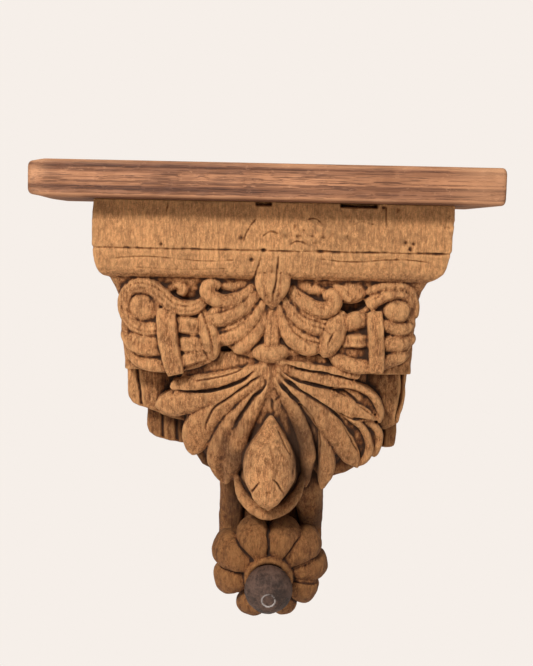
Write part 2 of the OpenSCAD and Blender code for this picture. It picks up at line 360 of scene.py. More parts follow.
def round_form(center, radii):
    """A ball with three radii: across, out from the wall and down."""
    u = np.linspace(POLE, np.pi - POLE, 40)[:, None]
    w = np.linspace(0, 2 * np.pi, 49)[None, :-1]
    ball = np.stack([radii[0] * np.sin(u) * np.cos(w), radii[1] * np.sin(u) * np.sin(w),
                     radii[2] * np.cos(u) * np.ones_like(w)], axis=-1)
    shell(ball + np.asarray(center, float))


# %% [markdown]
# ## The block: head, ground, steps and tail
# The head is a plain upper member over a rounded band, with a thin sunk line between them. Below it the
# sides step in towards the tail. Levels are listed from the top down.

# %% Head, ground, steps and tail
block([[-101.4, 100.2, 97.6, 0], [-101.5, 100.2, 97.8, -1], [-102.0, 99.8, 99.2, -14],
       [-102.1, 99.3, 99.9, -25.2],
       [-102.0, 99.0, 99.9, -26.3], [-101.4, 98.5, 99.1, -26.7], [-101.4, 98.3, 99.0, -27.3],
       [-101.7, 98.4, 99.6, -27.9],
       [-100.9, 97.2, 98.9, -34], [-99.6, 95.2, 97.8, -38.4], [-98.4, 92.2, 95.8, -41.2],
       [-96.6, 89.6, 93.2, -42.8],
       [-92.8, 87, 89, -44]], corner=1.6)
block([[-94.6, 89, 91.5, -38], [-92.8, 87, 90.5, -44.6], [-90.6, 85, 87, -49.5], [-88.4, 83.6, 82.5, -56],
       [-87.2, 82, 80, -75],
       [-85.6, 81.4, 78, -98]], corner=3)
block([[-87, 81.6, 62, -84], [-86.4, 81.2, 62, -100], [-85.8, 80.6, 62, -112], [-85.4, 80.2, 61.8, -116.5],
       [-83.0, 79.6, 61.5, -120.5], [-79.5, 79, 61.2, -122.5], [-74, 78.4, 61, -124],
       [-60, 77.4, 60.5, -129.5],
       [-50, 76, 60, -131], [-40, 70, 58, -134]], corner=2.5)
block([[-75.4, 77.6, 50, -116], [-75.2, 77.6, 50, -136], [-74, 77.4, 49.8, -140], [-70, 77.2, 49.4, -143],
       [-62, 76.8, 49, -145.6], [-50, 75.4, 48.5, -146.8]], corner=2.2)
block([[-57, 55, 74, -80], [-59, 57, 79, -93], [-53, 54, 72, -122], [-43, 46, 65, -145], [-35, 40, 55, -163]],
      corner=9)
block([[-14, 13, 90.5, -41], [-12.5, 11.5, 88, -47], [-9, 8, 82, -60]], corner=3)
block([[-8, 8.5, 84, -88], [-10, 10.5, 84.5, -108], [-12, 13, 80, -145]], corner=4)
block([[-46, 54, 56, -138], [-44.5, 53.5, 56, -152], [-41, 52, 55, -158.5], [-34, 47, 53, -162.5],
       [-28, 38, 48, -166]],
      corner=3)
block([[-30.2, 33.2, 45, -138], [-30.2, 33.2, 45, -222], [-28, 32, 44, -234], [-21, 25, 38, -244],
       [-12, 16, 24, -249]], corner=2.5)
block([[-30.2, -14, 52, -150], [-30.2, -14, 54, -166], [-30, -16, 52, -200], [-29, -18, 45, -222]], corner=7)
strip([[29.5, 46, -150], [29.6, 49, -172], [29.4, 48, -222]], 3.6, rise=3.0, fullness=4)
block([[13, 32.8, 66, -150], [14, 33.0, 66, -172], [18, 33.0, 60, -188], [22, 32.8, 48, -204]], corner=5)
print("block", len(shells), "shells")

# %% [markdown]
# ## The two scrolls
# Each scroll is a band that curls round a flat eye. Two thin grooves run along it. Below it two more bands
# run to a strap, which ties them to a bundle of short ends.


# %% Raised ground behind the scrolls and leaves
pad([[-86, -60], [-83.5, -52], [-76, -48], [-66, -49], [-61, -55.5], [-50, -58.5], [-39, -60], [-33, -68],
     [-31, -84],
     [-36, -92], [-50, -97], [-66, -96.5], [-78, -92], [-84.5, -84], [-86.5, -72]], 88.6)
pad([[81, -60], [79, -52], [71, -48], [60, -50.5], [54, -57.5], [47, -61.5], [38, -64], [31, -70], [29, -84],
     [38, -91], [54, -92.5], [69, -89], [79, -83], [81.2, -72]], 88.6)
pad([[-34, -46], [-38, -52], [-38, -62], [-34, -72], [-24, -84], [-10, -89], [9, -88], [26, -82], [30, -72],
     [33, -60],
     [30, -50], [28, -45], [0, -42]], 87.4)


# %% Left scroll
strip([[-38.6, 87, -56], [-44.1, 89, -60], [-51.3, 89.8, -60.8], [-57.9, 89.8, -58.4], [-64, 89.6, -53],
       [-69.8, 89.4, -49.2],
       [-77, 89, -48.4], [-82.6, 88, -51.6], [-84.8, 87.2, -57.6], [-83.8, 87.2, -64.8], [-79.6, 88, -70.4],
       [-72.7, 88.4, -73], [-64.9, 88.5, -72.6], [-57, 87.5, -72.4]],
      [3.5, 4.2, 4.4, 4.4, 4.5, 4.6, 4.4, 3.9, 3.8, 3.8, 3.8, 3.9, 4.0, 3.8], rise=4.4, ends=0.7, fullness=3,
      grooves=[(-0.36, 0.12, 0.34), (0.34, 0.11, 0.24)])
strip([[-80.4, 86.5, -54.2], [-73, 88.2, -51.2], [-67.2, 88.6, -54.8], [-65.9, 88.4, -60.6],
       [-69.2, 88, -66.6]],
      [1.7, 2.1, 2.2, 2.1, 1.7], rise=3.0)
disc([-74.4, 88.8, -60.8], [7.6, 7.6], 2.6, fullness=3.2)
strip([[-83.8, 85, -72], [-81.4, 87, -78], [-76.4, 88.4, -81.8], [-69, 88.6, -82.9], [-57, 87.6, -82.8]],
      [3.1, 5.2, 6.0, 6.1, 6.1], rise=4.0, fullness=3.2, hollow=0.25, tilt=-0.1)
strip([[-82.6, 82, -84], [-79.6, 84.6, -88.6], [-75, 86, -91.8], [-69.3, 87, -93.4], [-57, 86.5, -94]],
      [2.8, 3.8, 4.4, 4.7, 4.7], rise=4.0, fullness=2.6, tilt=-0.15)
strip([[-60.6, 89.5, -61.8], [-60.2, 91.6, -70], [-59.4, 92.4, -78], [-57.7, 92, -87], [-54.8, 89.5, -98.6]],
      [5.4, 5.8, 5.8, 5.8, 5.5], rise=3.8, body=20, ends=0.9, fullness=8, hollow=0.1)
print("with the left scroll", len(shells), "shells")

# %% Right scroll
strip([[52.7, 86.5, -50], [57.8, 88.5, -47.4], [64.9, 89, -45.8], [72.1, 88.8, -45.6], [78.4, 87, -49.3],
       [81.2, 85.5, -56.1],
       [81.8, 83.5, -64]], [2.1, 2.8, 3.1, 3.1, 2.8, 2.6, 2.4], rise=3.8)
strip([[54.4, 88, -57.4], [58.8, 89.6, -53.8], [65.1, 90, -51], [72.2, 89.4, -50.2], [77.8, 87.6, -53.7],
       [80.2, 86, -59.5]],
      [4.1, 3.7, 3.3, 2.9, 2.5, 2.0], rise=4.2, ends=0.85)
disc([70.8, 88.6, -60], [7.6, 6.4], 4.4, fullness=2.4)
strip([[56.2, 87.5, -67.5], [63.9, 88.8, -68.6], [71.8, 88.6, -70.8], [77.7, 87, -69.6], [80.6, 82.5, -66.6]],
      [3.5, 3.5, 3.7, 3.2, 2.4], rise=4.0, tilt=0.1)
strip([[56.2, 87, -78.4], [63.7, 88.6, -78.6], [72.7, 88.2, -79], [78.7, 86, -76.8], [80.6, 81.5, -74]],
      [4.6, 4.6, 4.4, 3.5, 2.4], rise=4.2, tilt=0.1)
strip([[32.7, 84, -84], [37.5, 86.5, -88.3], [43.7, 88, -91.3], [52.2, 88.5, -92.2], [64.2, 88, -89.6],
       [73.8, 86.4, -86.4],
       [80, 80.5, -82]], [3.3, 4.0, 4.4, 4.5, 4.2, 4.0, 3.1], rise=4.2, fullness=2.4, tilt=0.12)
strip([[57.7, 90, -61], [58.2, 92, -68], [58.8, 92.6, -76], [59.3, 92, -85], [59.8, 89.5, -95]],
      [4.5, 4.7, 4.7, 4.7, 4.5], rise=3.6, body=20, ends=0.9, fullness=8, hollow=0.12)
print("with the right scroll", len(shells), "shells")


# %% Bundles tied by the straps
def tied_end(side, z, half, start=54.5, stop=38.8, reach=88.6, slope=0.0):
    """One short cut end that comes out from under the strap."""
    middle = (start + stop) / 2
    strip([[side * start, reach - 1.5, z + slope], [side * middle, reach, z],
           [side * stop, reach - 2, z - slope]],
          half, rise=4.0, ends=0.85, fullness=5, body=18, hollow=0.08)


for side, z, half, slope in [(-1, -71, 5.1, 1.0), (-1, -81.4, 4.6, -0.4), (-1, -89.6, 3.8, -2.4),
                             (1, -77.6, 3.9, 0.2)]:
    tied_end(side, z, half, slope=slope, stop=39 if side < 0 else 41)
blade([[54, 86.5, -65.6], [47.6, 88.6, -65.9], [40.2, 87, -69.6]], [4.7, 5.0, 4.5], rise=4.2, tip=0.2)
strip([[-59, 83, -56.4], [-60, 85, -50.6], [-56.4, 86, -47.2], [-51.8, 86, -49], [-53.4, 85.5, -53.6]],
      [2.8, 3.3, 3.5, 3.5, 2.6],
      rise=3.4, ends=0.8)
blade([[-40.4, 86, -62.6], [-37.6, 89.4, -70], [-35.2, 90, -78], [-33.6, 87, -90]], [3.1, 5.2, 5.7, 3.5],
      rise=4.4,
      grooves=[(0.05, 0.16, 0.4)])
blade([[38.6, 86, -61.8], [36.4, 89.4, -69], [33.6, 90.2, -77], [29.6, 87, -87]], [3.3, 6.1, 6.6, 4.0],
      rise=5.0)
print("with the bundles", len(shells), "shells")

# %% [markdown]
# ## The upper palmette
# Short leaves droop from a clasp under the head. The top pair curls into a ball. A bar drops from the
# clasp to a flat bead, where the big fan starts.

# %% Upper leaves, clasp, bar and bead
strip([[-6, 88, -43.5], [-12, 89, -49.5], [-19, 90, -54], [-26.4, 90.4, -56.4], [-33.6, 90.6, -55],
       [-37.6, 90.2, -50.6],
       [-35, 89.6, -46.6], [-30.8, 88.6, -48.4]], [3.1, 3.5, 3.8, 4.0, 4.4, 4.6, 4.0, 3.0], rise=4.6,
       ends=0.7, flip=-1)
blade([[-8, 87, -43], [-19, 87.6, -47], [-26, 87.4, -47.6], [-34, 86.6, -44.6]], [2.8, 3.3, 2.8, 1.9], rise=3)
blade([[-5, 88.5, -45.5], [-11, 90, -53], [-18.5, 90.8, -60.2], [-27, 90.2, -64.6], [-37.6, 88.4, -66.4]],
      [2.4, 3.8, 5.0, 6.0, 6.4],
      rise=4.8, tip=0.16, grooves=[(0.5, 0.13, 0.25)])
blade([[-4, 88, -52], [-9.3, 89, -62], [-16.5, 89.4, -70.6], [-24, 88.4, -75.2], [-34, 86, -78]],
      [2.6, 4.0, 5.4, 5.8, 5.4],
      rise=4.6, grooves=[(0.45, 0.13, 0.32)])
blade([[-3.5, 87, -60], [-6.6, 88, -69], [-12, 88, -76.5], [-21.5, 86, -85.6]], [2.1, 3.5, 5.0, 5.0],
      rise=4.4, tip=0.2)
strip([[6, 87.5, -44], [10.5, 88.6, -50], [16.1, 89.8, -55.2], [23.4, 90.4, -59.2], [30.2, 90.4, -60],
       [34.6, 90, -56.2],
       [32.6, 89.4, -51.8], [28.4, 88, -52]], [3.1, 3.9, 4.5, 4.7, 4.7, 4.5, 4.0, 3.1], rise=4.8, ends=0.75)
blade([[8, 86.5, -42.5], [16, 87.4, -46.2], [23, 87.4, -48.4], [31, 86.4, -49.8]], [2.8, 4.0, 3.8, 2.6],
      rise=3)
blade([[3, 88, -49], [9.5, 89, -59], [16, 89.6, -65.8], [24, 89, -69.4], [33, 87, -71.4]],
      [2.6, 4.2, 5.4, 5.7, 4.7], rise=4.6,
      grooves=[(0.5, 0.12, 0.3), (0.0, 0.11, 0.25)])
blade([[2.4, 87.5, -54], [5.6, 88.4, -65], [10.4, 89.4, -74], [18, 89, -79.6], [29.4, 87, -81.4]],
      [2.4, 4.2, 5.7, 6.4, 5.7],
      rise=4.8, tip=0.18, grooves=[(0.4, 0.12, 0.3)])
round_form([43.8, 85.4, -47.6], [10.6, 5.6, 9.2])
blade([[35, 88.6, -45.5], [39.5, 90, -50.5], [44.2, 89.4, -55]], [1.9, 2.6, 1.9], rise=2)
blade([[-0.8, 93, -35.5], [-0.7, 95, -42], [-0.6, 94.6, -49], [-0.3, 89.5, -59]], [8.5, 9.9, 9.2, 4.0],
      rise=3.4, body=22, tip=0.3,
      fullness=4, grooves=[(-0.45, 0.1, 0.22), (0.42, 0.1, 0.24)])
strip([[-0.6, 86, -52], [-0.4, 87.6, -68], [-0.2, 87.6, -83]], [4.0, 4.4, 4.7], rise=4.2, fullness=3,
      hollow=0.1)
round_form([-0.8, 85.4, -85.4], [10.8, 8.0, 6.6])
print("with the upper carving", len(shells), "shells")

# %% [markdown]
# ## The fan
# Long leaves fall from the bead like an open hand. Some are full and rounded, others are cut hollow with
# a raised rim on one side, so each one names its own grooves. Each leaf starts on a small half circle
# round the bead.


# %% The fan's common root and its left leaves
round_form([0, 75.5, -108], [42, 9.5, 27])
round_form([1, 76.4, -100], [26, 11.2, 14])
blade([[-3, 86, -92.5], [-8, 86, -95], [-24.6, 84, -100.6], [-42.6, 81, -104.4], [-58.5, 77.5, -107.6]],
      [2.0, 3.1, 4.5, 4.9, 4.5], body=26, web=3.0, tip=0.08, fullness=2.6)
blade([[-3, 86, -95], [-9, 86, -99], [-17.6, 85, -104.8], [-26, 83.6, -110.2], [-39.8, 80.5, -114.4],
       [-53.5, 77, -117.2],
       [-67.4, 72, -120]], [1.4, 2.0, 3.0, 4.2, 5.6, 7.8, 7.0], rise=4.8, body=26, web=3.0, fullness=2.4)
blade([[-3, 86, -95], [-7, 85.5, -100.4], [-21.7, 83.4, -110.6], [-34.2, 80, -121.5], [-42.0, 75.5, -133.5],
       [-45.6, 69, -148.4]],
      [2.0, 3.4, 5.4, 7.6, 9.3, 6.9], rise=4.6, body=26, web=3.0, fullness=2.4, tilt=0.06)
blade([[-2, 86, -97], [-5, 85, -105.8], [-12.6, 83.4, -118.4], [-20.8, 81.4, -132.6], [-25.6, 78, -148.5],
       [-26.6, 71, -165.4]],
      [2.0, 4.0, 6.7, 9.4, 11.2, 7.8], rise=5.2, body=26, web=3.0, tip=0.2, grooves=[(0.2, 0.3, 0.5)],
      tilt=-0.14)
blade([[-1, 85, -99], [-4, 83.5, -112], [-8, 80, -128], [-12, 75, -145], [-14, 70, -162]],
      [2.2, 4.5, 6.7, 7.3, 5.6], rise=3.0, body=26, web=3.0)

blade([[-8, 84, -91.5], [-24, 83.4, -92], [-38, 82, -95], [-52, 79, -101]], [3, 6.4, 6.4, 4], rise=1.6,
      body=26)
print("with the left half of the fan", len(shells), "shells")

# %% Right leaves of the fan
blade([[6, 84.6, -88], [16, 84.8, -89], [30, 84, -91], [44, 82, -95]], [2, 4, 4, 3], rise=1.2, body=26)
blade([[2, 87, -90.4], [10, 87.4, -91.4], [28, 86.4, -94.2], [40, 84.6, -96.2], [51, 82.6, -98]],
      [1.4, 1.8, 2.3, 2.8, 2.7],
      rise=3.2, body=26, web=3.0, tip=0.05, fullness=4)
blade([[3, 86.6, -92.5], [9, 86.4, -95], [16, 86, -97.8], [28, 84.6, -100.4], [39, 83, -102.3],
       [49.4, 81, -103]],
      [1.2, 1.8, 3.1, 4.1, 4.0, 2.2], rise=3.2, body=26, web=3.0, fullness=2.6)
blade([[34, 81.4, -104.5], [46, 80.4, -107.4], [55, 77.6, -113], [60.8, 74.6, -121.5]], [1.8, 3.6, 4.6, 3.2],
      rise=0.8, body=26)
blade([[30, 83.5, -102.8], [40, 83, -104], [50.4, 81.6, -105.2], [59.6, 79, -111.2], [64.2, 76.4, -119.4],
       [64, 73.6, -126.8]],
      [0.9, 1.7, 2.1, 2.2, 2.2, 1.8], rise=3.4, body=26, web=3.0, fullness=3)
blade([[3, 87, -94], [9, 86.6, -98.6], [16, 86, -103.3], [27, 84.4, -109], [37, 82.4, -114], [46, 80, -118.2],
       [54, 77.6, -121.6], [61.6, 75, -125]], [1.0, 1.6, 2.4, 4.3, 5.7, 5.9, 4.4, 2.0], rise=4.2, body=26,
       web=3.0, fullness=2.4)
blade([[34, 80.6, -118.6], [44, 79.2, -124], [51.4, 76.2, -132], [54.4, 73.4, -142], [53, 71.6, -149]],
      [2, 3.4, 4.6, 4.4, 2.4],
      rise=0.8, body=26)
blade([[38, 81.6, -118.4], [47.2, 80.6, -124.4], [54.2, 78.6, -130.4], [58.2, 75.8, -139.6],
       [57.4, 73, -147.6], [52, 71, -153.2]],
      [0.9, 1.7, 2.1, 2.4, 2.4, 1.9], rise=3.4, body=26, web=3.0, fullness=3)
blade([[3, 86.6, -98.4], [10.5, 86, -105.8], [18, 84.8, -112], [26.5, 83, -119.6], [35, 81, -128.6],
       [42, 78.4, -138],
       [47.4, 75.6, -146.4], [51.8, 72.8, -153.8]], [1.2, 1.9, 3.3, 5.5, 6.8, 6.9, 5.6, 2.6], rise=4.6,
       body=26, web=3.0,
      fullness=2.4)
blade([[50, 75, -126], [57.6, 73, -136], [57, 70.6, -147]], [3.8, 5.2, 4.0], rise=0.8, body=24)
blade([[52.4, 75.4, -124.6], [61, 74, -129.4], [64.6, 71.6, -136.4], [61.8, 68.6, -148.4]],
      [1.6, 2.2, 2.5, 2.3], rise=3.0,
      body=24, fullness=3)
blade([[28.6, 79.5, -127], [30.8, 79.6, -136], [33.2, 78.6, -146], [33.6, 76.6, -155], [31.2, 73.6, -167]],
      [1.4, 2.8, 4.7, 5.0, 3.0],
      rise=4.4, body=26, fullness=2.4, tip=0.2)
blade([[1.2, 87, -100], [5.6, 86.2, -108], [10.4, 85, -115], [14.8, 83.6, -122.6], [18.2, 82, -130],
       [20.6, 80.6, -138],
       [22.2, 79, -146.6], [21.6, 74, -166]], [1.4, 2.6, 3.7, 4.3, 4.5, 4.5, 4.7, 3.0], rise=4.4, body=26,
       web=3.0, tilt=0.4)
blade([[18, 82, -110], [25, 79.6, -124], [28.4, 77, -138], [28.6, 74, -158]], [2, 3.2, 3.6, 3.0], rise=0.6,
      body=26)
blade([[5, 80, -117], [12, 78, -128], [16.4, 75, -144], [17, 71, -162]], [3.4, 4.9, 5.6, 5.2], rise=2,
      body=26)
blade([[0, 85.6, -90], [0.2, 86.8, -97], [0.4, 86, -106], [0.5, 83, -121]], [8, 8.6, 8, 5], rise=1.4, body=20)
print("with the whole fan", len(shells), "shells")

# %% [markdown]
# ## Bud, lip and cup
# A closed bud stands out in front of the fan. Its lower end is cut as a small lip between two slits, and
# it rests in a cup, of which the rim shows as a crescent.

# %% Bud, lip and cup
blade([[0.2, 86.5, -123.8], [0.3, 90, -128.8], [0.4, 93, -134.6], [0.3, 95.4, -140.6], [0, 96.6, -147.4],
       [-0.2, 97.2, -154],
       [-0.4, 97.2, -160.6], [-0.6, 96.4, -167], [-0.6, 94.8, -173.6]],
       [1.8, 5.4, 9.2, 12.4, 14.6, 14.9, 12.8, 9.0, 3.2],
      rise=9.4, body=26, tip=0.1, fullness=2.3)
blade([[-2, 97.6, -154], [-1.4, 100.2, -159], [-0.9, 101.4, -164.5], [-0.6, 100.2, -169],
       [-0.6, 96.6, -174.2]],
      [4.2, 7.4, 9.2, 7.2, 2.6], rise=4.2, body=22, tip=0.2)
strip([[-20.0, 75, -157], [-18.2, 79, -165], [-15, 82.6, -171], [-9.4, 85.2, -176.6], [-0.7, 86.4, -179.8],
       [8.8, 85.2, -177.2], [15.4, 82.6, -170.6], [18.8, 79.2, -163.4], [19.8, 75.6, -156]],
      [1.2, 2.3, 3.0, 3.5, 3.6, 3.4, 2.9, 2.1, 1.2], rise=3.6, ends=0.4, flip=-1, tilt=0.35)
round_form([0, 66, -159.5], [18.6, 19, 20])
print("with the bud and cup", len(shells), "shells")

# %% [markdown]
# ## The lotus
# Nine petals roll back from a round lip that holds the knob. They are cut by hand, so their angles and
# sizes differ. The flower faces out of the wall and a little down, on the knob's own axis, which is
# taken from the knob's box.

# %% Lotus
KNOB_RADIUS = (knob_high - knob_low)[0] / 2
KNOB_SEAT = 8.6  # radius of the knob's flat seat on the flower
TILT = np.radians(11)  # how far the flower faces down
knob_middle = from_row((knob_low + knob_high) / 2)
belt_height = np.sqrt(KNOB_RADIUS**2 - KNOB_SEAT**2)
flower_axis = np.array([0, np.cos(TILT), -np.sin(TILT)])
flower_up = np.array([0, np.sin(TILT), np.cos(TILT)])
flower_right = np.array([1.0, 0, 0])
belt_middle = np.array([knob_middle[0], 0, 0]) + [0, -knob_low[1] - KNOB_RADIUS,
                                                  knob_high[2] - KNOB_RADIUS - UNDER_BOARD]
flower = belt_middle - flower_axis * belt_height
print("flower at", flower.round(1), "knob radius", KNOB_RADIUS.round(2))


def on_flower(points):
    """Puts [right, up, out] of the flower's own plane into the carver's coordinates."""
    p = np.asarray(points, float)
    return flower + p[..., :1] * flower_right + p[..., 1:2] * flower_up + p[..., 2:] * flower_axis


def petal(angle, near, far, half, height, back=0.0):
    """An egg from near to far along its angle: widest past its middle, rolled back at its far end."""
    u = np.linspace(POLE, np.pi - POLE, 44)[:, None]
    w = np.linspace(0, 2 * np.pi, 41)[None, :-1]
    along = (near + far) / 2 - (far - near) / 2 * np.cos(u)
    wide = np.sin(u) ** 0.8 * (1 - 0.34 * np.cos(u))
    roll = -9.5 - back + height * 0.35 - 0.010 * (along - near) ** 2
    across = half * wide * np.cos(w)
    out = roll + height * wide * np.sin(w) * np.where(np.sin(w) > 0, 1, 1.6)
    a = np.radians(angle)
    along = np.broadcast_to(along, across.shape)
    shell(on_flower(np.stack([along * np.sin(a) + across * np.cos(a), along * np.cos(a) - across * np.sin(a),
                              out],
                             axis=-1)))


for angle, near, far, half, height, back in [
        (-22, 8, 34.5, 9.2, 8.8, 0), (20, 8, 34.5, 9.2, 8.8, 0.4), (51, 9, 37, 9.2, 8.6, 1.4),
        (83, 10, 35.5, 8.6, 7.8, 3.6), (118, 9, 33, 9.0, 8.2, 2.6), (156, 9, 31.5, 7.4, 7.4, 3),
        (-156, 9, 32.6, 8.6, 8.0, 3), (-104, 9, 33.8, 9.4, 8.4, 3.0), (-61, 9, 37, 10.0, 9.2, 0.8)]:
    petal(angle, near, far, half, height, back)


def lathe(profile, count=72):
    """Turns [radius, out] points round the flower's axis."""
    profile = np.asarray(profile, float)
    w = np.linspace(0, 2 * np.pi, count + 1)[:-1]
    r, out = profile[:, 0][:, None], profile[:, 1][:, None] * np.ones_like(w)
    return on_flower(np.stack([r * np.cos(w), r * np.sin(w), out], axis=-1))


shell(lathe([[23, -36], [21, -24], [17.5, -14], [14.6, -6], [14.6, -0.8], [14.2, 0.6], [13.3, 1.6],
             [12.2, 1.8],
             [11.2, 1.2], [10.6, -0.2], [6, -0.4], [1, -0.4]]))
print("whole block", len(shells), "shells")

# %% [markdown]
# ## Joining the block
# Overlapping shells are one solid to the eye only. A voxel remesh rebuilds them as one skin with no
# hidden inner walls, fine enough for the tool marks that come next.


# %% Join and remesh
def make_mesh(name, points, faces):
    """A mesh from arrays: foreach_set copies them in one call each."""
    mesh = bpy.data.meshes.new(name)
    mesh.vertices.add(len(points))
    mesh.vertices.foreach_set("co", np.asarray(points, np.float32).ravel())
    mesh.loops.add(faces.size)
    mesh.loops.foreach_set("vertex_index", faces.ravel().astype(np.int32))
    mesh.polygons.add(len(faces))
    starts = np.arange(len(faces), dtype=np.int32) * faces.shape[1]
    mesh.polygons.foreach_set("loop_start", starts)
    mesh.polygons.foreach_set("use_smooth", np.ones(len(faces), bool))
    mesh.update(calc_edges=True)
    return mesh


def make_object(name, mesh):
    """Puts a mesh into the scene as an object at the origin, unturned."""
    piece = bpy.data.objects.new(name, mesh)
    bpy.context.scene.collection.objects.link(piece)
    return piece


WALLWARD = 0.98  # a face whose normal has more of +Y than this looks at the wall


def settle(piece, kind, **settings):
    """Adds one modifier and keeps its result as the piece's mesh. Faces that look at the wall stay flat."""
    modifier = piece.modifiers.new(kind.lower(), kind)
    for key, value in settings.items():
        setattr(modifier, key, value)
    result = bpy.data.meshes.new_from_object(piece.evaluated_get(bpy.context.evaluated_depsgraph_get()))
    piece.modifiers.clear()
    piece.data = result
    normals = np.empty(len(result.polygons) * 3, np.float32)
    result.polygons.foreach_get("normal", normals)
    result.polygons.foreach_set("use_smooth", normals.reshape(-1, 3)[:, 1] < WALLWARD)


def read_points(mesh):
    """The place of each vertex, in metres."""
    values = np.empty(3 * len(mesh.vertices), np.float32)
    mesh.vertices.foreach_get("co", values)
    return values.reshape(-1, 3).astype(float)


def write_points(mesh, points):
    """Moves every vertex at once."""
    mesh.vertices.foreach_set("co", np.asarray(points, np.float32).ravel())
    mesh.update()


def read_normals(mesh):
    """The outward direction at each vertex."""
    values = np.empty(3 * len(mesh.vertices), np.float32)
    mesh.vertex_normals.foreach_get("vector", values)
    return values.reshape(-1, 3).astype(float)


def read_edges(mesh):
    """The two vertices of each edge."""
    values = np.empty(2 * len(mesh.edges), np.int32)
    mesh.edges.foreach_get("vertices", values)
    return values.reshape(-1, 2)


VOXEL = 0.00062  # metres
offsets = np.cumsum([0] + [grid.shape[0] * grid.shape[1] for grid in shells])
all_points = np.concatenate([grid.reshape(-1, 3) for grid in shells])
all_faces = np.concatenate([grid_faces(*grid.shape[:2]) + start for grid, start in zip(shells, offsets)])
block_piece = make_object("carved_block", make_mesh("carved_block", to_row(all_points), all_faces))
settle(block_piece, "REMESH", mode="VOXEL", voxel_size=VOXEL)
print("remeshed", len(block_piece.data.vertices), "vertices")

# %% [markdown]
# ## Tool marks, cracks and wear
# Now the skin is treated as a carver's chisel and long use would treat it. Edges are eased by smoothing. The
# surface gets shallow dents and fibres from value noise, which blends random numbers at the corners of
# a lattice. Cracks, slots and holes are cut along drawn lines.


# %% Noise and smoothing
PRIMES = np.array([374761393, 668265263, 2147483647])
SEED_STEP, STIR = 974711, 1274126177


def noise(points, size, seed):
    """Value noise from -1 to 1: random numbers at lattice corners, blended by a smooth step."""
    q = points / np.asarray(size, float)
    base = np.floor(q).astype(np.int64)
    f = q - base
    f = f * f * (3 - 2 * f)
    total = np.zeros(len(points))
    for corner in range(8):
        step = np.array([corner & 1, corner >> 1 & 1, corner >> 2 & 1])
        key = (base + step) @ PRIMES + seed * SEED_STEP
        key = (key ^ (key >> 13)) * STIR
        value = ((key ^ (key >> 16)) & 0xFFFF) / 32767.5 - 1
        total += value * np.prod(np.where(step, f, 1 - f), axis=1)
    return total


def relax(values, edges, rounds, strength=0.5):
    """Moves each vertex's values towards the mean of its neighbours, rounds times."""
    values = values.copy()
    count = np.maximum(np.bincount(edges.ravel(), minlength=len(values)), 1)
    for _ in range(rounds):
        for k in range(values.shape[1]):
            column = values[:, k]
            total = np.bincount(edges[:, 0], column[edges[:, 1]], len(column))
            total += np.bincount(edges[:, 1], column[edges[:, 0]], len(column))
            column += strength * (total / count - column)
    return values


def to_line(x, z, line):
    """Distance in the face's plane from each point to a line of [x, z] points."""
    best = np.full(len(x), 1e9)
    for (ax, az), (bx, bz) in zip(line[:-1], line[1:]):
        dx, dz = bx - ax, bz - az
        t = np.clip(((x - ax) * dx + (z - az) * dz) / (dx * dx + dz * dz), 0, 1)
        best = np.minimum(best, np.hypot(x - ax - t * dx, z - az - t * dz))
    return best


def cut_profile(x, z, line, half):
    """1 on a line of [x, z] points, falling off with the bell of width half; it fades towards both ends."""
    line = curve([[px, 0, pz] for px, pz in line], 3 * len(line))[:, ::2]
    end = np.minimum(*(np.hypot(x - line[k][0], z - line[k][1]) for k in (0, -1)))
    return bell(to_line(x, z, line), half) * (0.25 + 0.75 * smooth_step(end, 0, 4))


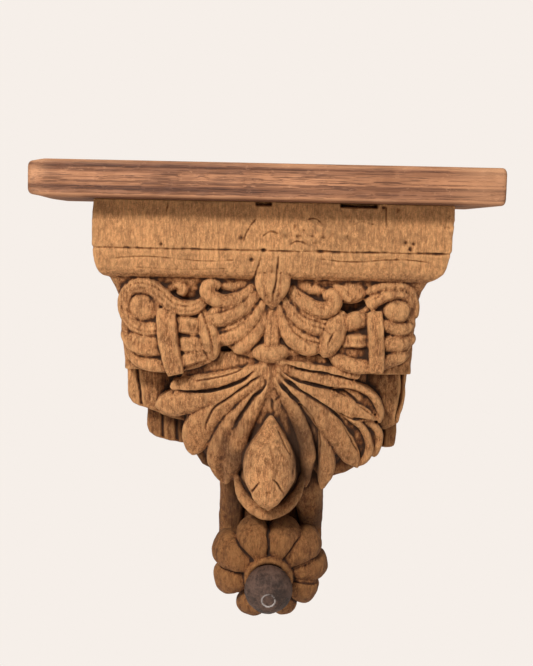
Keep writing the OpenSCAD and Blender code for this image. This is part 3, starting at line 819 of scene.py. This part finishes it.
# %% Cracks, slots and holes
# A cut is [line of x and z, half width, depth, least reach, greatest reach]. The reaches keep it on its own
# part of the carving. A hole is [x, z, half width, depth] and a slot is [from x, to x, depth].
HEAD, CLASP, UPPER, LEAVES = (92, 120), (86, 120), (84, 120), (70, 120)
EARS, STEPS = (40, 66), (30, 52)
CUTS = [
    ([[-80.8, -96], [-79.2, -108], [-77.2, -124]], 0.7, 3.4, *EARS),
    ([[77.9, -95], [78.4, -110], [75.6, -132]], 0.9, 4.0, *EARS),
    ([[-66, -123], [-65.4, -146]], 0.8, 2.0, *STEPS),
    ([[-57.4, -128], [-56.8, -148]], 0.9, 2.2, *STEPS),
    ([[69.2, -127], [69.2, -149]], 1.0, 4.5, *STEPS),
    ([[2.6, -29], [1.8, -38], [1.4, -45], [-0.6, -56]], 0.55, 1.6, *CLASP),
    ([[62.4, 0], [61.7, -6], [62.3, -12]], 0.45, 0.9, *HEAD),
    ([[-59.6, 0], [-60.6, -8]], 0.45, 0.7, *HEAD),
    ([[-10, -8], [-15, -16], [-18, -24]], 0.45, 0.6, *HEAD),
    ([[35.4, -71.5], [33.6, -74.5], [31.6, -79]], 0.5, 1.5, *UPPER),
    ([[31.4, -72], [33.6, -74.5]], 0.5, 1.2, *UPPER),
    ([[57.6, -52.6], [59.6, -50.4]], 0.9, 2.2, *UPPER),
    ([[-5.8, -157.0], [-8.0, -160], [-10.8, -164.4]], 0.5, 2.0, *UPPER),
    ([[2.1, -155.4], [4.8, -158.4], [8.2, -163.4]], 0.5, 2.0, *UPPER),
    ([[3.6, -127], [7.4, -134], [11.6, -143]], 0.45, 0.8, *LEAVES),
    ([[13.4, -148], [13.4, -155]], 0.45, 0.8, *LEAVES),
    ([[-0.6, -111], [0.8, -115], [1.4, -120.6]], 0.9, 1.8, *LEAVES),
    ([[4.6, -111], [1.6, -114.5]], 0.8, 1.2, *LEAVES),
    ([[7, -91.6], [16, -94.6], [29.4, -96.6], [38, -98.4], [47, -101]], 0.55, 1.3, *LEAVES),
    ([[5.6, -95.6], [15.2, -101], [26.8, -104.2], [38.5, -106.6], [44.4, -108.8], [50.2, -113.6],
      [59, -121.6]], 0.6, 1.8, 66, 120),
    ([[7.6, -101], [16.4, -106.5], [33, -117.4], [42.4, -126.4], [48.6, -138], [52.4, -145]], 0.55, 1.6, 64,
     120),
    ([[37.4, -119.8], [45, -123], [58, -125]], 0.6, 1.2, 64, 120),
    ([[4.6, -102.6], [10.8, -109], [17.4, -116], [24, -124.5], [28, -133], [28.6, -144], [28.4, -152]], 0.7,
     2.0, 62, 120),
    ([[-44.5, -103.2], [-34, -101], [-22.4, -97.6], [-14, -92]], 0.55, 1.1, *LEAVES),
    ([[-56.8, -109.8], [-42.6, -109.6], [-29.8, -107.3], [-16.5, -101.6], [-9.4, -95.4]], 0.65, 1.8, 66, 120),
    ([[-37.9, -131.5], [-36.7, -126.4], [-32.6, -118.3], [-26.2, -113.8], [-17.6, -107.5], [-7, -99]], 0.65,
     1.6, 64, 120),
    ([[-22, -131], [-16.2, -121], [-10.6, -112], [-4.3, -105.7], [-3.4, -102]], 0.75, 2.0, 62, 120),
    ([[-8, -30], [-9.4, -37], [-12, -43.5]], 0.5, 0.8, *CLASP),
    ([[-8, -20], [-3, -16.4], [2, -17.4]], 0.4, 0.6, *CLASP),
    ([[8, -23.6], [13, -21.4], [19, -23.8]], 0.4, 0.7, *CLASP),
    ([[16, -10], [22, -8.6], [27, -12]], 0.4, 0.5, *CLASP),
    ([[40, -14], [48, -10], [56, -11.6]], 0.35, 0.3, *CLASP),
    ([[24, -31], [44, -32.4], [70, -30.6], [88, -32]], 0.45, 0.5, *CLASP),
    ([[-92, -33], [-70, -31.6], [-40, -33.6], [-20, -32.4]], 0.4, 0.35, *CLASP),
    ([[-80, -37.6], [-50, -38.6], [-24, -37.2]], 0.4, 0.3, *CLASP),
]
# Seams between the petals, as degrees from the top of the flower
SEAM_ANGLES = [-1, 35, 67, 101, 137, 180, -130, -82, -41]
for seam in np.radians(SEAM_ANGLES):
    ends = on_flower([[r * np.sin(seam), r * np.cos(seam), -4] for r in (13, 22, 32)])
    CUTS.append((ends[:, ::2].tolist(), 0.6, 1.1, 20, 98))
HOLES = [(-18.6, -20, 2.2, 1.2), (-12.6, -32.5, 1.6, 1.6), (-63.4, -24.5, 1.2, 1.2), (75.7, -24.6, 1.1, 2.2),
         (73, -21, 1.4, 1.0), (77.4, -21.5, 1.2, 1.0), (-6, -26.8, 1.2, 1.4), (60.4, -1.6, 1.3, 2.0)]
SLOTS = [(-10.7, -1.9, 3.5), (36.5, 57.3, 5.0)]
print(len(CUTS), "cuts", len(HOLES), "holes", len(SLOTS), "slots")


# %% Wear
ON_HEAD = 90  # a point that reaches further than this lies on the head's face
CREASE = -27.0  # height of the sunk line between the head's two members
COARSE = [(0.30, (9, 9, 13), 1), (0.20, (3.6, 3.6, 5), 2)]
FIBRES, PORES = [(0.16, (1.7, 1.7, 5), 3)], [(0.10, (1.6, 1.6, 1.6), 9)]
TORN = [(0.8, (3.5, 3.5, 2.6), 6), (0.4, (1.8, 3, 1.8), 7)]


def dents(p, layers):
    """The sum of noise layers, each one [depth, lattice size, seed]."""
    return sum(depth * noise(p, size, seed) for depth, size, seed in layers)


def spot(x, z, middle, widths):
    """1 at middle, falling as exp(-r^2), where r counts widths across and down."""
    return np.exp(-(((x - middle[0]) / widths[0]) ** 2 + ((z - middle[1]) / widths[1]) ** 2))


def wear(points, normals):
    """The block's points after dents, fibres and cuts. Lengths are millimetres."""
    x, reach, z = from_row(points * 1000).T
    front = smooth_step(-normals[:, 1], 0.1, 0.6)
    p = points * 1000
    depth = dents(p, COARSE)
    depth += dents(p, FIBRES) * front + dents(p, PORES)
    crease = bell(z - CREASE, 0.9) * (reach > ON_HEAD)
    depth -= crease * (0.2 + (0.15 + 0.4 * smooth_step(x, 0, 30)) * noise(p, (7, 3, 2), 10))
    below = smooth_step(-z, 44, 50)
    depth += below * (0.22 * noise(p, (5, 5, 5), 11) - 0.10 * np.abs(noise(p, (2.6, 2.6, 3.4), 12)))
    rough = smooth_step(noise(p, (16, 16, 10), 4), 0.0, 0.6) * smooth_step(x, -8, 20) * (z > -46)
    depth += rough * (0.35 * noise(p, (2.2, 2.2, 2.0), 5) - 0.15)
    depth += spot(x, z, (16, -19), (20, 9)) * (z > -28) * dents(p, TORN)
    wander = x + 0.5 * noise(p, (4, 4, 4), 8)
    for line, half, cut, low, high in CUTS:
        depth -= cut * cut_profile(wander, z, line, half) * ((reach > low) & (reach < high)) * front
    for hx, hz, half, cut in HOLES:
        depth -= cut * bell(np.hypot(x - hx, z - hz), half) * (reach > ON_HEAD)
    hidden = np.maximum(smooth_step(normals[:, 1], 0.6, 0.9),
                        smooth_step(normals[:, 2], 0.8, 0.95) * (z > -1))
    moved = points + normals * (depth * (1 - hidden))[:, None] / 1000
    for low, high, cut in SLOTS:
        inside = smooth_step(x, low - 0.6, low + 0.2) * smooth_step(-x, -high - 0.2, -high + 0.6)
        moved[:, 1] += inside * cut * smooth_step(z, -2.6, -1.5) * (reach > 88) / 1000
    moved[:, 1] = np.minimum(moved[:, 1], 0)
    moved[:, 2] = np.minimum(moved[:, 2], UNDER_BOARD / 1000)
    return moved


TRIANGLES = 196_000
mesh = block_piece.data
edges = read_edges(mesh)
points = relax(read_points(mesh), edges, 1)
write_points(mesh, points)
points = wear(points, read_normals(mesh))
write_points(mesh, relax(points, edges, 1, 0.2))
settle(block_piece, "DECIMATE", ratio=min(1, TRIANGLES / (2 * len(mesh.polygons))))
settle(block_piece, "TRIANGULATE")
mesh = block_piece.data
print("worn block", len(mesh.polygons), "triangles")


# %% [markdown]
# ## Where dirt, wear, painted shade and painted highlights lie
# Dirt and painted shade go into hollows, and hands polish what stands proud, which also gets a painted
# highlight. Both follow from the shape. A point that lies below its smoothed neighbourhood is in a hollow,
# and one above it is on a ridge. A blurred map of the front, seen as heights, also tells which places lie
# deep between taller carving; these get painted shade.


# %% Depth behind the neighbouring carving
MAP_LEFT, MAP_BELOW, MAP_SHAPE = 105, 256, (212, 260)  # a map of the front, in squares of 1 mm


def blur(field, radius):
    """A box blur along both axes, from running sums, done twice."""
    for axis in (0, 1, 0, 1):
        padded = np.pad(field, [(radius + 1, radius) if a == axis else (0, 0) for a in (0, 1)], mode="edge")
        total = np.cumsum(padded, axis=axis)
        size = 2 * radius + 1
        if axis == 0:
            field = (total[size:] - total[:-size]) / size
        else:
            field = (total[:, size:] - total[:, :-size]) / size
    return field


def depth_below(points, radius):
    """How far each point lies behind the blurred front, in mm, with blur radius in mm."""
    x, reach, z = from_row(points * 1000).T
    i, j = (x + MAP_LEFT).astype(int), (z + MAP_BELOW).astype(int)
    front = np.zeros(MAP_SHAPE)
    np.maximum.at(front, (i, j), reach)
    filled = front > 0
    mean = blur(np.where(filled, front, 0), radius) / np.maximum(blur(filled.astype(float), radius), 1e-3)
    return mean[i, j] - reach


def store(mesh, name, values):
    """Keeps one number for each vertex under name, for a finish to read."""
    attribute = mesh.attributes.new(name, "FLOAT", "POINT")
    attribute.data.foreach_set("value", np.asarray(values, np.float32))


def ridge_height(mesh, rounds):
    """How far each vertex stands above its smoothed neighbourhood, in mm, along its normal."""
    points, normals = read_points(mesh), read_normals(mesh)
    return 1000 * ((points - relax(points, read_edges(mesh), rounds)) * normals).sum(axis=1)


# %% Hollows and ridges
points = read_points(mesh)
x, reach, z = from_row(points * 1000).T
down = -z
sharp, fine, broad = (ridge_height(mesh, rounds) for rounds in (2, 8, 40))
# Painted shade: a point that lies behind the blurred front is darkened as a deep recess would be shaded, less
# so on the side steps and the tail.
deep = np.clip(depth_below(points, 5) / 9 - 0.2, 0, 1) + np.clip(depth_below(points, 12) / 25, 0, 0.5)
side_steps = smooth_step(np.abs(x), 60, 70) * smooth_step(down, 96, 106)
deep *= 1 - 0.75 * np.maximum(side_steps, smooth_step(down, 150, 166))
# Dirt and painted shade: points below their smoothed neighbourhood, and the deep recesses, are darkened.
hollow = smooth_step(-sharp, 0.01, 0.12) * 0.4 + smooth_step(-fine, 0.03, 0.35) * 0.45
hollow += smooth_step(-broad, 0.1, 1.2) * 0.45 + 0.32 * deep
# Wear and a painted highlight: points above their neighbourhood are lightened. The next line lightens the
# whole head, above z -44, as painted light.
ridge = smooth_step(sharp, 0.015, 0.12) * 0.7 + smooth_step(fine, 0.06, 0.4) * 0.3
ridge += 0.35 * smooth_step(z, -44, -38)
# Dirt and painted shade: a dark line along each cut and along the head's sunk line.
dirt_and_shade_lines = np.zeros(len(points))
for line, half, cut, low, high in CUTS:
    cut_shade_and_dirt = min(0.9, 0.3 + cut / 5) * cut_profile(x, z, line, half + 0.1) * ((reach > low) & (reach < high))
    dirt_and_shade_lines = np.maximum(dirt_and_shade_lines, cut_shade_and_dirt)
crease = bell(z - CREASE, 0.6) * (reach > ON_HEAD) * (0.15 + 0.25 * smooth_step(x, 0, 40))
hollow += 0.62 * dirt_and_shade_lines + crease * (0.9 + 0.7 * noise(points * 1000, (6, 3, 2), 22))
hollow *= 1 - 0.6 * spot(x, z, (4, -91), (16, 6))
both = np.stack([np.clip(hollow, 0, 1), np.clip(ridge, 0, 1)], axis=1)
hollow, ridge = relax(both, read_edges(mesh), 1).T
print("hollow mean", hollow.mean().round(3), "ridge mean", ridge.mean().round(3))

# %% Grime and a painted shadow round the bud and cup, age and painted shade lower down, and the knot in the head
# Patina round the bud and cup, with darker patches at the bud's sides and lower on the tail.
grime_and_shadow = spot(x, z, (2, -142), (24, 34)) * smooth_step(-reach, -92, -78)
grime_and_shadow += 1.0 * spot(x, z, (20, -148), (11, 28))
grime_and_shadow += 0.9 * spot(x, z, (-22, -142), (8, 14))
grime_and_shadow = np.clip(grime_and_shadow * (0.8 + 0.7 * noise(points * 1000, (7, 7, 9), 21)), 0, 1)
patches = smooth_step(noise(points * 1000, (8, 8, 10), 23), -0.1, 0.5)
patches = patches * smooth_step(down, 146, 160) * smooth_step(-reach, -72, -60)
grime_and_shadow = np.maximum(grime_and_shadow, 0.85 * patches)
# Painted shadow: the dark patch left of the cup, low on the tail.
grime_and_shadow = np.maximum(grime_and_shadow, 0.95 * spot(x, z, (-21.5, -180), (6, 17)) * (reach < 66))
# Darker towards the bottom and where the carving lies further back: partly age, partly painted shade.
age_and_shade = 0.85 * smooth_step(down, 168, 196)
age_and_shade += 0.5 * smooth_step(down, 118, 128) * smooth_step(-reach, -64, -52)
age_and_shade += (0.5 * smooth_step(-x, 12, 26) * smooth_step(down, 184, 200)
         + 0.3 * smooth_step(down, 100, 150) * smooth_step(-reach, -94, -84))
knot = spot(x, z, (24, -17), (34, 10)) * (z > -28) + 0.5 * spot(x, z, (70, -30), (22, 9))
masks = {"knot": np.clip(1.3 * knot * (reach > 88), 0, 1), "age_and_shade": np.clip(age_and_shade, 0, 1),
         "hollow": hollow, "ridge": ridge, "grime_and_shadow": grime_and_shadow}
for name, values in masks.items():
    store(mesh, name, values)
print("masks", {name: round(float(values.mean()), 3) for name, values in masks.items()})

# %% [markdown]
# ## The finish of old carved wood
# Dry wood of a warm tan. Its fibres run down the block, so the noise for them is squeezed across and
# stretched along z. Small pores and dark dust sit in it. The masks then darken the hollows to brown with
# dirt and painted shade, grey the places round the bud with patina and a painted shadow, darken the lower
# parts with age and painted shade, and lighten the ridges with wear and a painted highlight.


# %% Carved wood
BROWN_TAN, HONEY, STRAW = (0.42, 0.176, 0.066), (0.72, 0.330, 0.130), (0.90, 0.48, 0.205)
WORN_AND_HIGHLIGHT_TAN, PORE_BROWN = (0.88, 0.47, 0.200), (0.12, 0.045, 0.015)
DIRT_AND_SHADE_BROWN, PATINA_AND_SHADOW = (0.030, 0.013, 0.006), (0.075, 0.034, 0.016)


def carved_wood():
    """Noises for tone, fibres, grain and pores colour the wood; the masks add age, wear, patina, painted
    shade and a painted highlight.
    """
    f = Finish("carved_wood")
    plain = f.place()
    tone = f.noise(plain, 34, detail=5, roughness=0.65)
    patch = f.noise(plain, 90, detail=4, roughness=0.6, distortion=0.6)
    fibre = f.noise(f.place(stretch=(1, 1, 0.10)), 1000, detail=4, roughness=0.7, distortion=0.3)
    vein = f.noise(f.place(stretch=(1, 1, 0.07)), 260, detail=4, distortion=0.8)
    grain = f.noise(f.place(stretch=(1, 1, 0.45)), 700, detail=6, roughness=0.85)
    pit = f.noise(plain, 1300, detail=3, roughness=0.6)
    color = f.mix(tone.band(0.3, 0.7), BROWN_TAN, HONEY)
    color = f.tint(patch.band(0.46, 0.66) * 0.45, color, (0.55, 0.50, 0.46))
    color = f.tint(fibre.band(0.47, 0.56) * 0.7, color, (0.44, 0.38, 0.33))
    color = f.mix(grain.band(0.52, 0.58) * 0.6, color, STRAW)
    color = f.tint(1 - grain.band(0.40, 0.47), color, (0.48, 0.42, 0.37))
    color = f.tint(vein.band(0.54, 0.64) * 0.5, color, (0.5, 0.45, 0.4))
    color = f.mix(pit.band(0.60, 0.66) * 0.7, color, PORE_BROWN)
    swirl = f.noise(plain, 95, detail=8, roughness=0.75, distortion=2.4)
    color = f.tint(f.mask("knot") * swirl.band(0.50, 0.55), color, (0.50, 0.43, 0.38))
    color = f.tint(f.mask("knot") * (1 - swirl.band(0.36, 0.42)), color, (0.34, 0.28, 0.24))
    # Wear and a painted highlight lighten the ridges, and painted light lightens the whole head.
    color = f.mix(f.mask("ridge") * 0.65, color, WORN_AND_HIGHLIGHT_TAN)
    hollow = (f.mask("hollow") + (tone - 0.5) * 0.15 + (grain - 0.5) * 0.18).clamp()
    # Age and painted shade darken the lower and recessed parts.
    color = f.tint(f.mask("age_and_shade"), color, (0.50, 0.43, 0.34))
    # Dirt and painted shade darken the hollows, the cuts and the deep recesses.
    color = f.tint(hollow.band(0.18, 0.60), color, (0.46, 0.37, 0.29))
    color = f.mix(hollow.band(0.55, 0.95) * 0.9, color, DIRT_AND_SHADE_BROWN)
    # Patina round the bud and cup, and a painted shadow left of the cup.
    color = f.mix(f.mask("grime_and_shadow") * 0.68, color, PATINA_AND_SHADOW)
    height = fibre * 0.5 + grain * 0.7 + pit * 0.2 + patch * 0.5
    f.fill(f.shader, {"Base Color": color, "Roughness": fibre * 0.14 + 0.62,
                      "Normal": f.bump(height, 1.0, 0.0020), "Specular IOR Level": 0.3})
    return f.material


block_piece.data.materials.clear()
block_piece.data.materials.append(carved_wood())
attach(block_piece, "root")
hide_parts("carved_corbel")
print("finish", block_piece.data.materials[0].name)

# %% [markdown]
# ## The board
# A plank whose edges are rounded by use. It is a rounded rectangle carried along x, and its ends shrink
# into the same rounding. Its left end is the more worn one.


# %% Board shape
EDGE_ROUND = 2.6
QUARTER = np.linspace(0, np.pi / 2, 7)
board_middle, board_size = (board_low + board_high) / 2, board_high - board_low


def board_ring():
    """y and z round the plank's section: four straight runs, joined by quarter turns of EDGE_ROUND."""
    half_deep, half_thick = board_size[1] / 2, board_size[2] / 2
    inner_deep, inner_thick = half_deep - EDGE_ROUND, half_thick - EDGE_ROUND
    deep_run = np.linspace(-inner_deep, inner_deep, 64)[1:-1]
    thick_run = np.linspace(-inner_thick, inner_thick, 26)[1:-1]
    runs = [(deep_run, -half_thick), (half_deep, thick_run), (deep_run[::-1], half_thick),
            (-half_deep, thick_run[::-1])]
    ring_y, ring_z = [], []
    for k, (sy, sz) in enumerate([(-1, -1), (1, -1), (1, 1), (-1, 1)]):
        turn = QUARTER + np.pi + k * np.pi / 2
        run_y, run_z = np.broadcast_arrays(*runs[k])
        ring_y += [sy * inner_deep + EDGE_ROUND * np.cos(turn), run_y]
        ring_z += [sz * inner_thick + EDGE_ROUND * np.sin(turn), run_z]
    return np.concatenate(ring_y), np.concatenate(ring_z)


def board_grid():
    """The ring carried along x. At each end it shrinks by EDGE_ROUND (1 - sin), which rounds it off."""
    ring_y, ring_z = board_ring()
    end, inset_end = EDGE_ROUND * (1 - np.cos(QUARTER))[:-1], EDGE_ROUND * (1 - np.sin(QUARTER))[:-1]
    xs = np.linspace(board_low[0] + EDGE_ROUND, board_high[0] - EDGE_ROUND, 240)
    x = np.concatenate([board_low[0] + end, xs, (board_high[0] - end)[::-1]])
    inset = np.concatenate([inset_end, 0 * xs, inset_end[::-1]])
    y = ring_y[None] * (1 - inset[:, None] / (board_size[1] / 2)) + board_middle[1]
    z = ring_z[None] * (1 - inset[:, None] / (board_size[2] / 2)) + board_middle[2]
    return close_ends(np.stack([np.broadcast_to(x[:, None], y.shape), y, z], axis=-1))


# %% Board wear
def worn_board():
    """The plank's mesh: noise sinks its front, its left end is thinner, and two masks go to its finish."""
    grid = board_grid()
    p = grid.reshape(-1, 3)
    worn = np.minimum(dents(p, [(0.35, (30, 12, 9), 31), (0.14, (5, 4, 3), 32)]) - 0.15, 0)
    p[:, 1] -= worn * smooth_step(-p[:, 1], 70, 112) * 2.2
    left = smooth_step(-p[:, 0], 124, 136) * smooth_step(-p[:, 1], 40, 112)
    p[:, 2] -= 1.4 * left * (p[:, 2] - board_middle[2]) / (board_size[2] / 2)
    p[:, 1] += 2.0 * left
    rubbed = smooth_step(-p[:, 0], 118, 134) * 0.6 + smooth_step(p[:, 0], 88, 112) * 0.55
    edge = np.abs(np.abs(p[:, 2] - board_middle[2]) - board_size[2] / 2) < 2.2
    rubbed += 0.45 * edge * (p[:, 1] < -105)
    rubbed *= 0.7 + 0.7 * noise(p, (14, 8, 5), 33)
    mesh = make_mesh("shelf_plank", p / 1000, grid_faces(*grid.shape[:2]))
    up = p[:, 2] - board_middle[2] + 0.8 * noise(p, (60, 20, 20), 34)
    front = p[:, 1] < -100
    dark_streaks_and_shadow = 0.9 * bell(up + 4.2, 1.7) * smooth_step(-p[:, 0], -60, 20) * front
    dark_streaks_and_shadow += 0.8 * bell(up - 7.6, 1.5) * smooth_step(-p[:, 0], -40, 60) * front
    # Painted shadow: a dark line along the board's lower front edge, where it meets the bracket.
    low_edge = smooth_step(-up, board_size[2] / 2 - 2.0, board_size[2] / 2 - 0.4)
    dark_streaks_and_shadow += low_edge * smooth_step(-np.abs(p[:, 0]), -112, -96)
    store(mesh, "rubbed", np.clip(rubbed, 0, 1))
    store(mesh, "dark_streaks_and_shadow", np.clip(dark_streaks_and_shadow, 0, 1))
    return mesh


plank = make_object("shelf_plank", worn_board())
print("plank", len(plank.data.polygons), "faces")

# %% [markdown]
# ## The board's finish
# Redder wood than the bracket, with dark grain that runs the whole length as long streaks. The left end
# and a strip near the right are worn pale.

# %% Board wood
RED_BROWN, RED_TAN, PALE_RED = (0.30, 0.128, 0.060), (0.50, 0.230, 0.112), (0.62, 0.32, 0.165)
WIDE_STREAK, STREAK = (0.17, 0.066, 0.033), (0.12, 0.045, 0.022)


def board_wood():
    """Noises squeezed to long streaks along x darken the wood; the rubbed mask pales it."""
    f = Finish("board_wood")
    wavy = f.place(stretch=(0.005, 1, 1))
    streak = f.noise(wavy, 480, detail=5, roughness=0.75)
    wide = f.noise(f.place(stretch=(0.006, 1, 1)), 170, detail=3)
    pore = f.noise(f.place(stretch=(0.03, 1, 1)), 1500, detail=2)
    blotch = f.noise(f.place(), 26, detail=5, roughness=0.65)
    scuff = f.noise(f.place(stretch=(0.5, 1, 1)), 330, detail=4, roughness=0.75)
    color = f.mix(blotch.band(0.3, 0.7), RED_BROWN, RED_TAN)
    color = f.mix(wide.band(0.50, 0.56) * 0.55, color, WIDE_STREAK)
    color = f.mix(streak.band(0.50, 0.56) * 0.75, color, STREAK)
    color = f.mix(pore.band(0.55, 0.62) * 0.7, color, (0.09, 0.034, 0.017))
    color = f.mix(scuff.band(0.58, 0.70) * 0.4, color, (0.58, 0.29, 0.150))
    color = f.mix(f.mask("rubbed") * 0.75, color, PALE_RED)
    # Dark grain streaks, and a painted shadow along the lower front edge.
    color = f.tint(f.mask("dark_streaks_and_shadow") * (streak.band(0.3, 0.6) * 0.4 + 0.6), color, (0.34, 0.26, 0.22))
    height = streak * 0.5 + pore * 0.4 + scuff * 0.4
    f.fill(f.shader, {"Base Color": color, "Roughness": streak * 0.15 + 0.55,
                      "Normal": f.bump(height, 0.8, 0.0009), "Specular IOR Level": 0.35})
    return f.material


plank.data.materials.append(board_wood())
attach(plank, "root")
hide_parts("shelf_board")
print("finish", plank.data.materials[0].name)

# %% [markdown]
# ## The knob
# It was turned on a lathe, so a profile spun round the flower's axis makes it. A thin pale ring, a painted
# highlight, marks the small disc at its tip, and old knocks have flattened it in places.

# %% Knob shape
TIP_RADIUS = 3.9
turn = np.linspace(-np.arcsin(belt_height / KNOB_RADIUS), np.arccos(TIP_RADIUS / KNOB_RADIUS), 70)
radius, out = KNOB_RADIUS * np.cos(turn), belt_height + KNOB_RADIUS * np.sin(turn)
tip_out = out[-1]
profile = np.concatenate([[[0.2, 0.02]], np.stack([radius, out], axis=1)[1:-1],
                          [[4.05, tip_out - 0.05], [3.7, tip_out - 0.1], [3.45, tip_out - 0.55],
                           [3.1, tip_out - 0.25],
                           [2, tip_out - 0.02], [0.2, tip_out]]])
knob_grid = close_ends(lathe(profile, 96))
knob_points = to_row(knob_grid.reshape(-1, 3))
away = unit(knob_points - to_row(belt_middle))
knob_mm = knob_points * 1000
dent = np.minimum(0.35 * noise(knob_mm, (6, 6, 6), 41) - 0.12, 0) + 0.06 * noise(knob_mm, (1.6, 1.6, 1.6), 42)
axial = (from_row(knob_mm) - flower) @ flower_axis
lathe_marks = 0.07 * noise(np.stack([axial, 0 * axial, 0 * axial], axis=1), (0.8, 1, 1), 43)
dent = (dent + lathe_marks - 0.07) * smooth_step(axial, 0.8, 4)
knob_points = knob_points + away * np.minimum(dent, 0)[:, None] / 1000
knob = make_object("knob", make_mesh("knob", knob_points, grid_faces(*knob_grid.shape[:2])))
around = np.linalg.norm(np.cross(from_row(knob_points * 1000) - flower, flower_axis), axis=1)
# Painted highlight: a pale ring round the small disc at the tip.
store(knob.data, "tip_highlight_ring", bell(around - 3.75, 0.35) * (axial > belt_height + 5))
print("knob", len(knob.data.polygons), "faces")


# %% Knob wood
NEAR_BLACK, DARK_BROWN = (0.030, 0.016, 0.011), (0.125, 0.070, 0.050)
SCUFF_BROWN, TIP_HIGHLIGHT_GREY = (0.20, 0.125, 0.095), (0.52, 0.48, 0.46)


def knob_wood():
    """Dark stain with finer scuffs over it, and a grey ring, a painted highlight, where the stored mask asks
    for one.
    """
    f = Finish("knob_wood")
    stain = f.noise(f.place(), 90, detail=4, roughness=0.6)
    scuff = f.noise(f.place(stretch=(1, 0.35, 1)), 620, detail=5, roughness=0.8)
    color = f.mix((stain * 0.5 + scuff * 0.5).band(0.40, 0.60), NEAR_BLACK, DARK_BROWN)
    color = f.mix(scuff.band(0.60, 0.75) * 0.5, color, SCUFF_BROWN)
    # Painted highlight: the pale ring at the tip.
    ring = (f.mask("tip_highlight_ring") * (scuff * 0.6 + stain * 0.4).band(0.42, 0.54)).clamp()
    color = f.mix(ring, color, TIP_HIGHLIGHT_GREY)
    f.fill(f.shader, {"Base Color": color, "Roughness": stain * 0.3 + 0.45,
                      "Normal": f.bump(scuff + stain, 0.8, 0.0012), "Specular IOR Level": 0.35})
    return f.material


knob.data.materials.append(knob_wood())
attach(knob, "root")
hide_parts("turned_knob")
print("finish", knob.data.materials[0].name)

# %% [markdown]
# ## Floor and background
# The camera sees the cream colour as it is, on the floor too, so no shadow shows there. The bracket gets a
# plain pale light from all round. The floor lies well below it, because the bracket hangs on a wall.


# %% Stage
def glow_for_camera(tree, shader_output, color, strength_seen):
    """Mixes a plain glow of color into what the camera sees, and leaves the rest to the shader."""
    path, glow, mixer = (tree.nodes.new("ShaderNode" + k) for k in ("LightPath", "Emission", "MixShader"))
    glow.inputs["Color"].default_value = color
    glow.inputs["Strength"].default_value = strength_seen
    tree.links.new(path.outputs["Is Camera Ray"], mixer.inputs[0])
    tree.links.new(shader_output, mixer.inputs[1])
    tree.links.new(glow.outputs[0], mixer.inputs[2])
    return mixer.outputs[0]


light = world.node_tree.nodes["Background"]
light.inputs["Color"].default_value = (1.0, 0.97, 0.94, 1)
light.inputs["Strength"].default_value = 0.22
seen = glow_for_camera(world.node_tree, light.outputs[0], CREAM, 1)
world.node_tree.links.new(seen, world.node_tree.nodes["World Output"].inputs["Surface"])

floor_finish = Finish("floor")
floor_finish.fill(floor_finish.shader, {"Base Color": CREAM, "Roughness": 0.9})
floor_seen = glow_for_camera(floor_finish.tree, floor_finish.shader.outputs[0], CREAM, 1)
floor_finish.tree.links.new(floor_seen, floor_finish.tree.nodes["Material Output"].inputs["Surface"])
FLOOR_HALF, FLOOR_BELOW = 4, 0.12  # metres: half the floor's width, and how far it lies below the bracket
level = corbel_low[2] / 1000 - FLOOR_BELOW
corners = np.array([[-FLOOR_HALF, -FLOOR_HALF, level], [FLOOR_HALF, -FLOOR_HALF, level],
                    [FLOOR_HALF, FLOOR_HALF, level], [-FLOOR_HALF, FLOOR_HALF, level]])
floor = make_object("floor", make_mesh("floor", corners, np.array([[0, 1, 2, 3]])))
floor.data.materials.append(floor_finish.material)
print("floor at", round(level, 4))
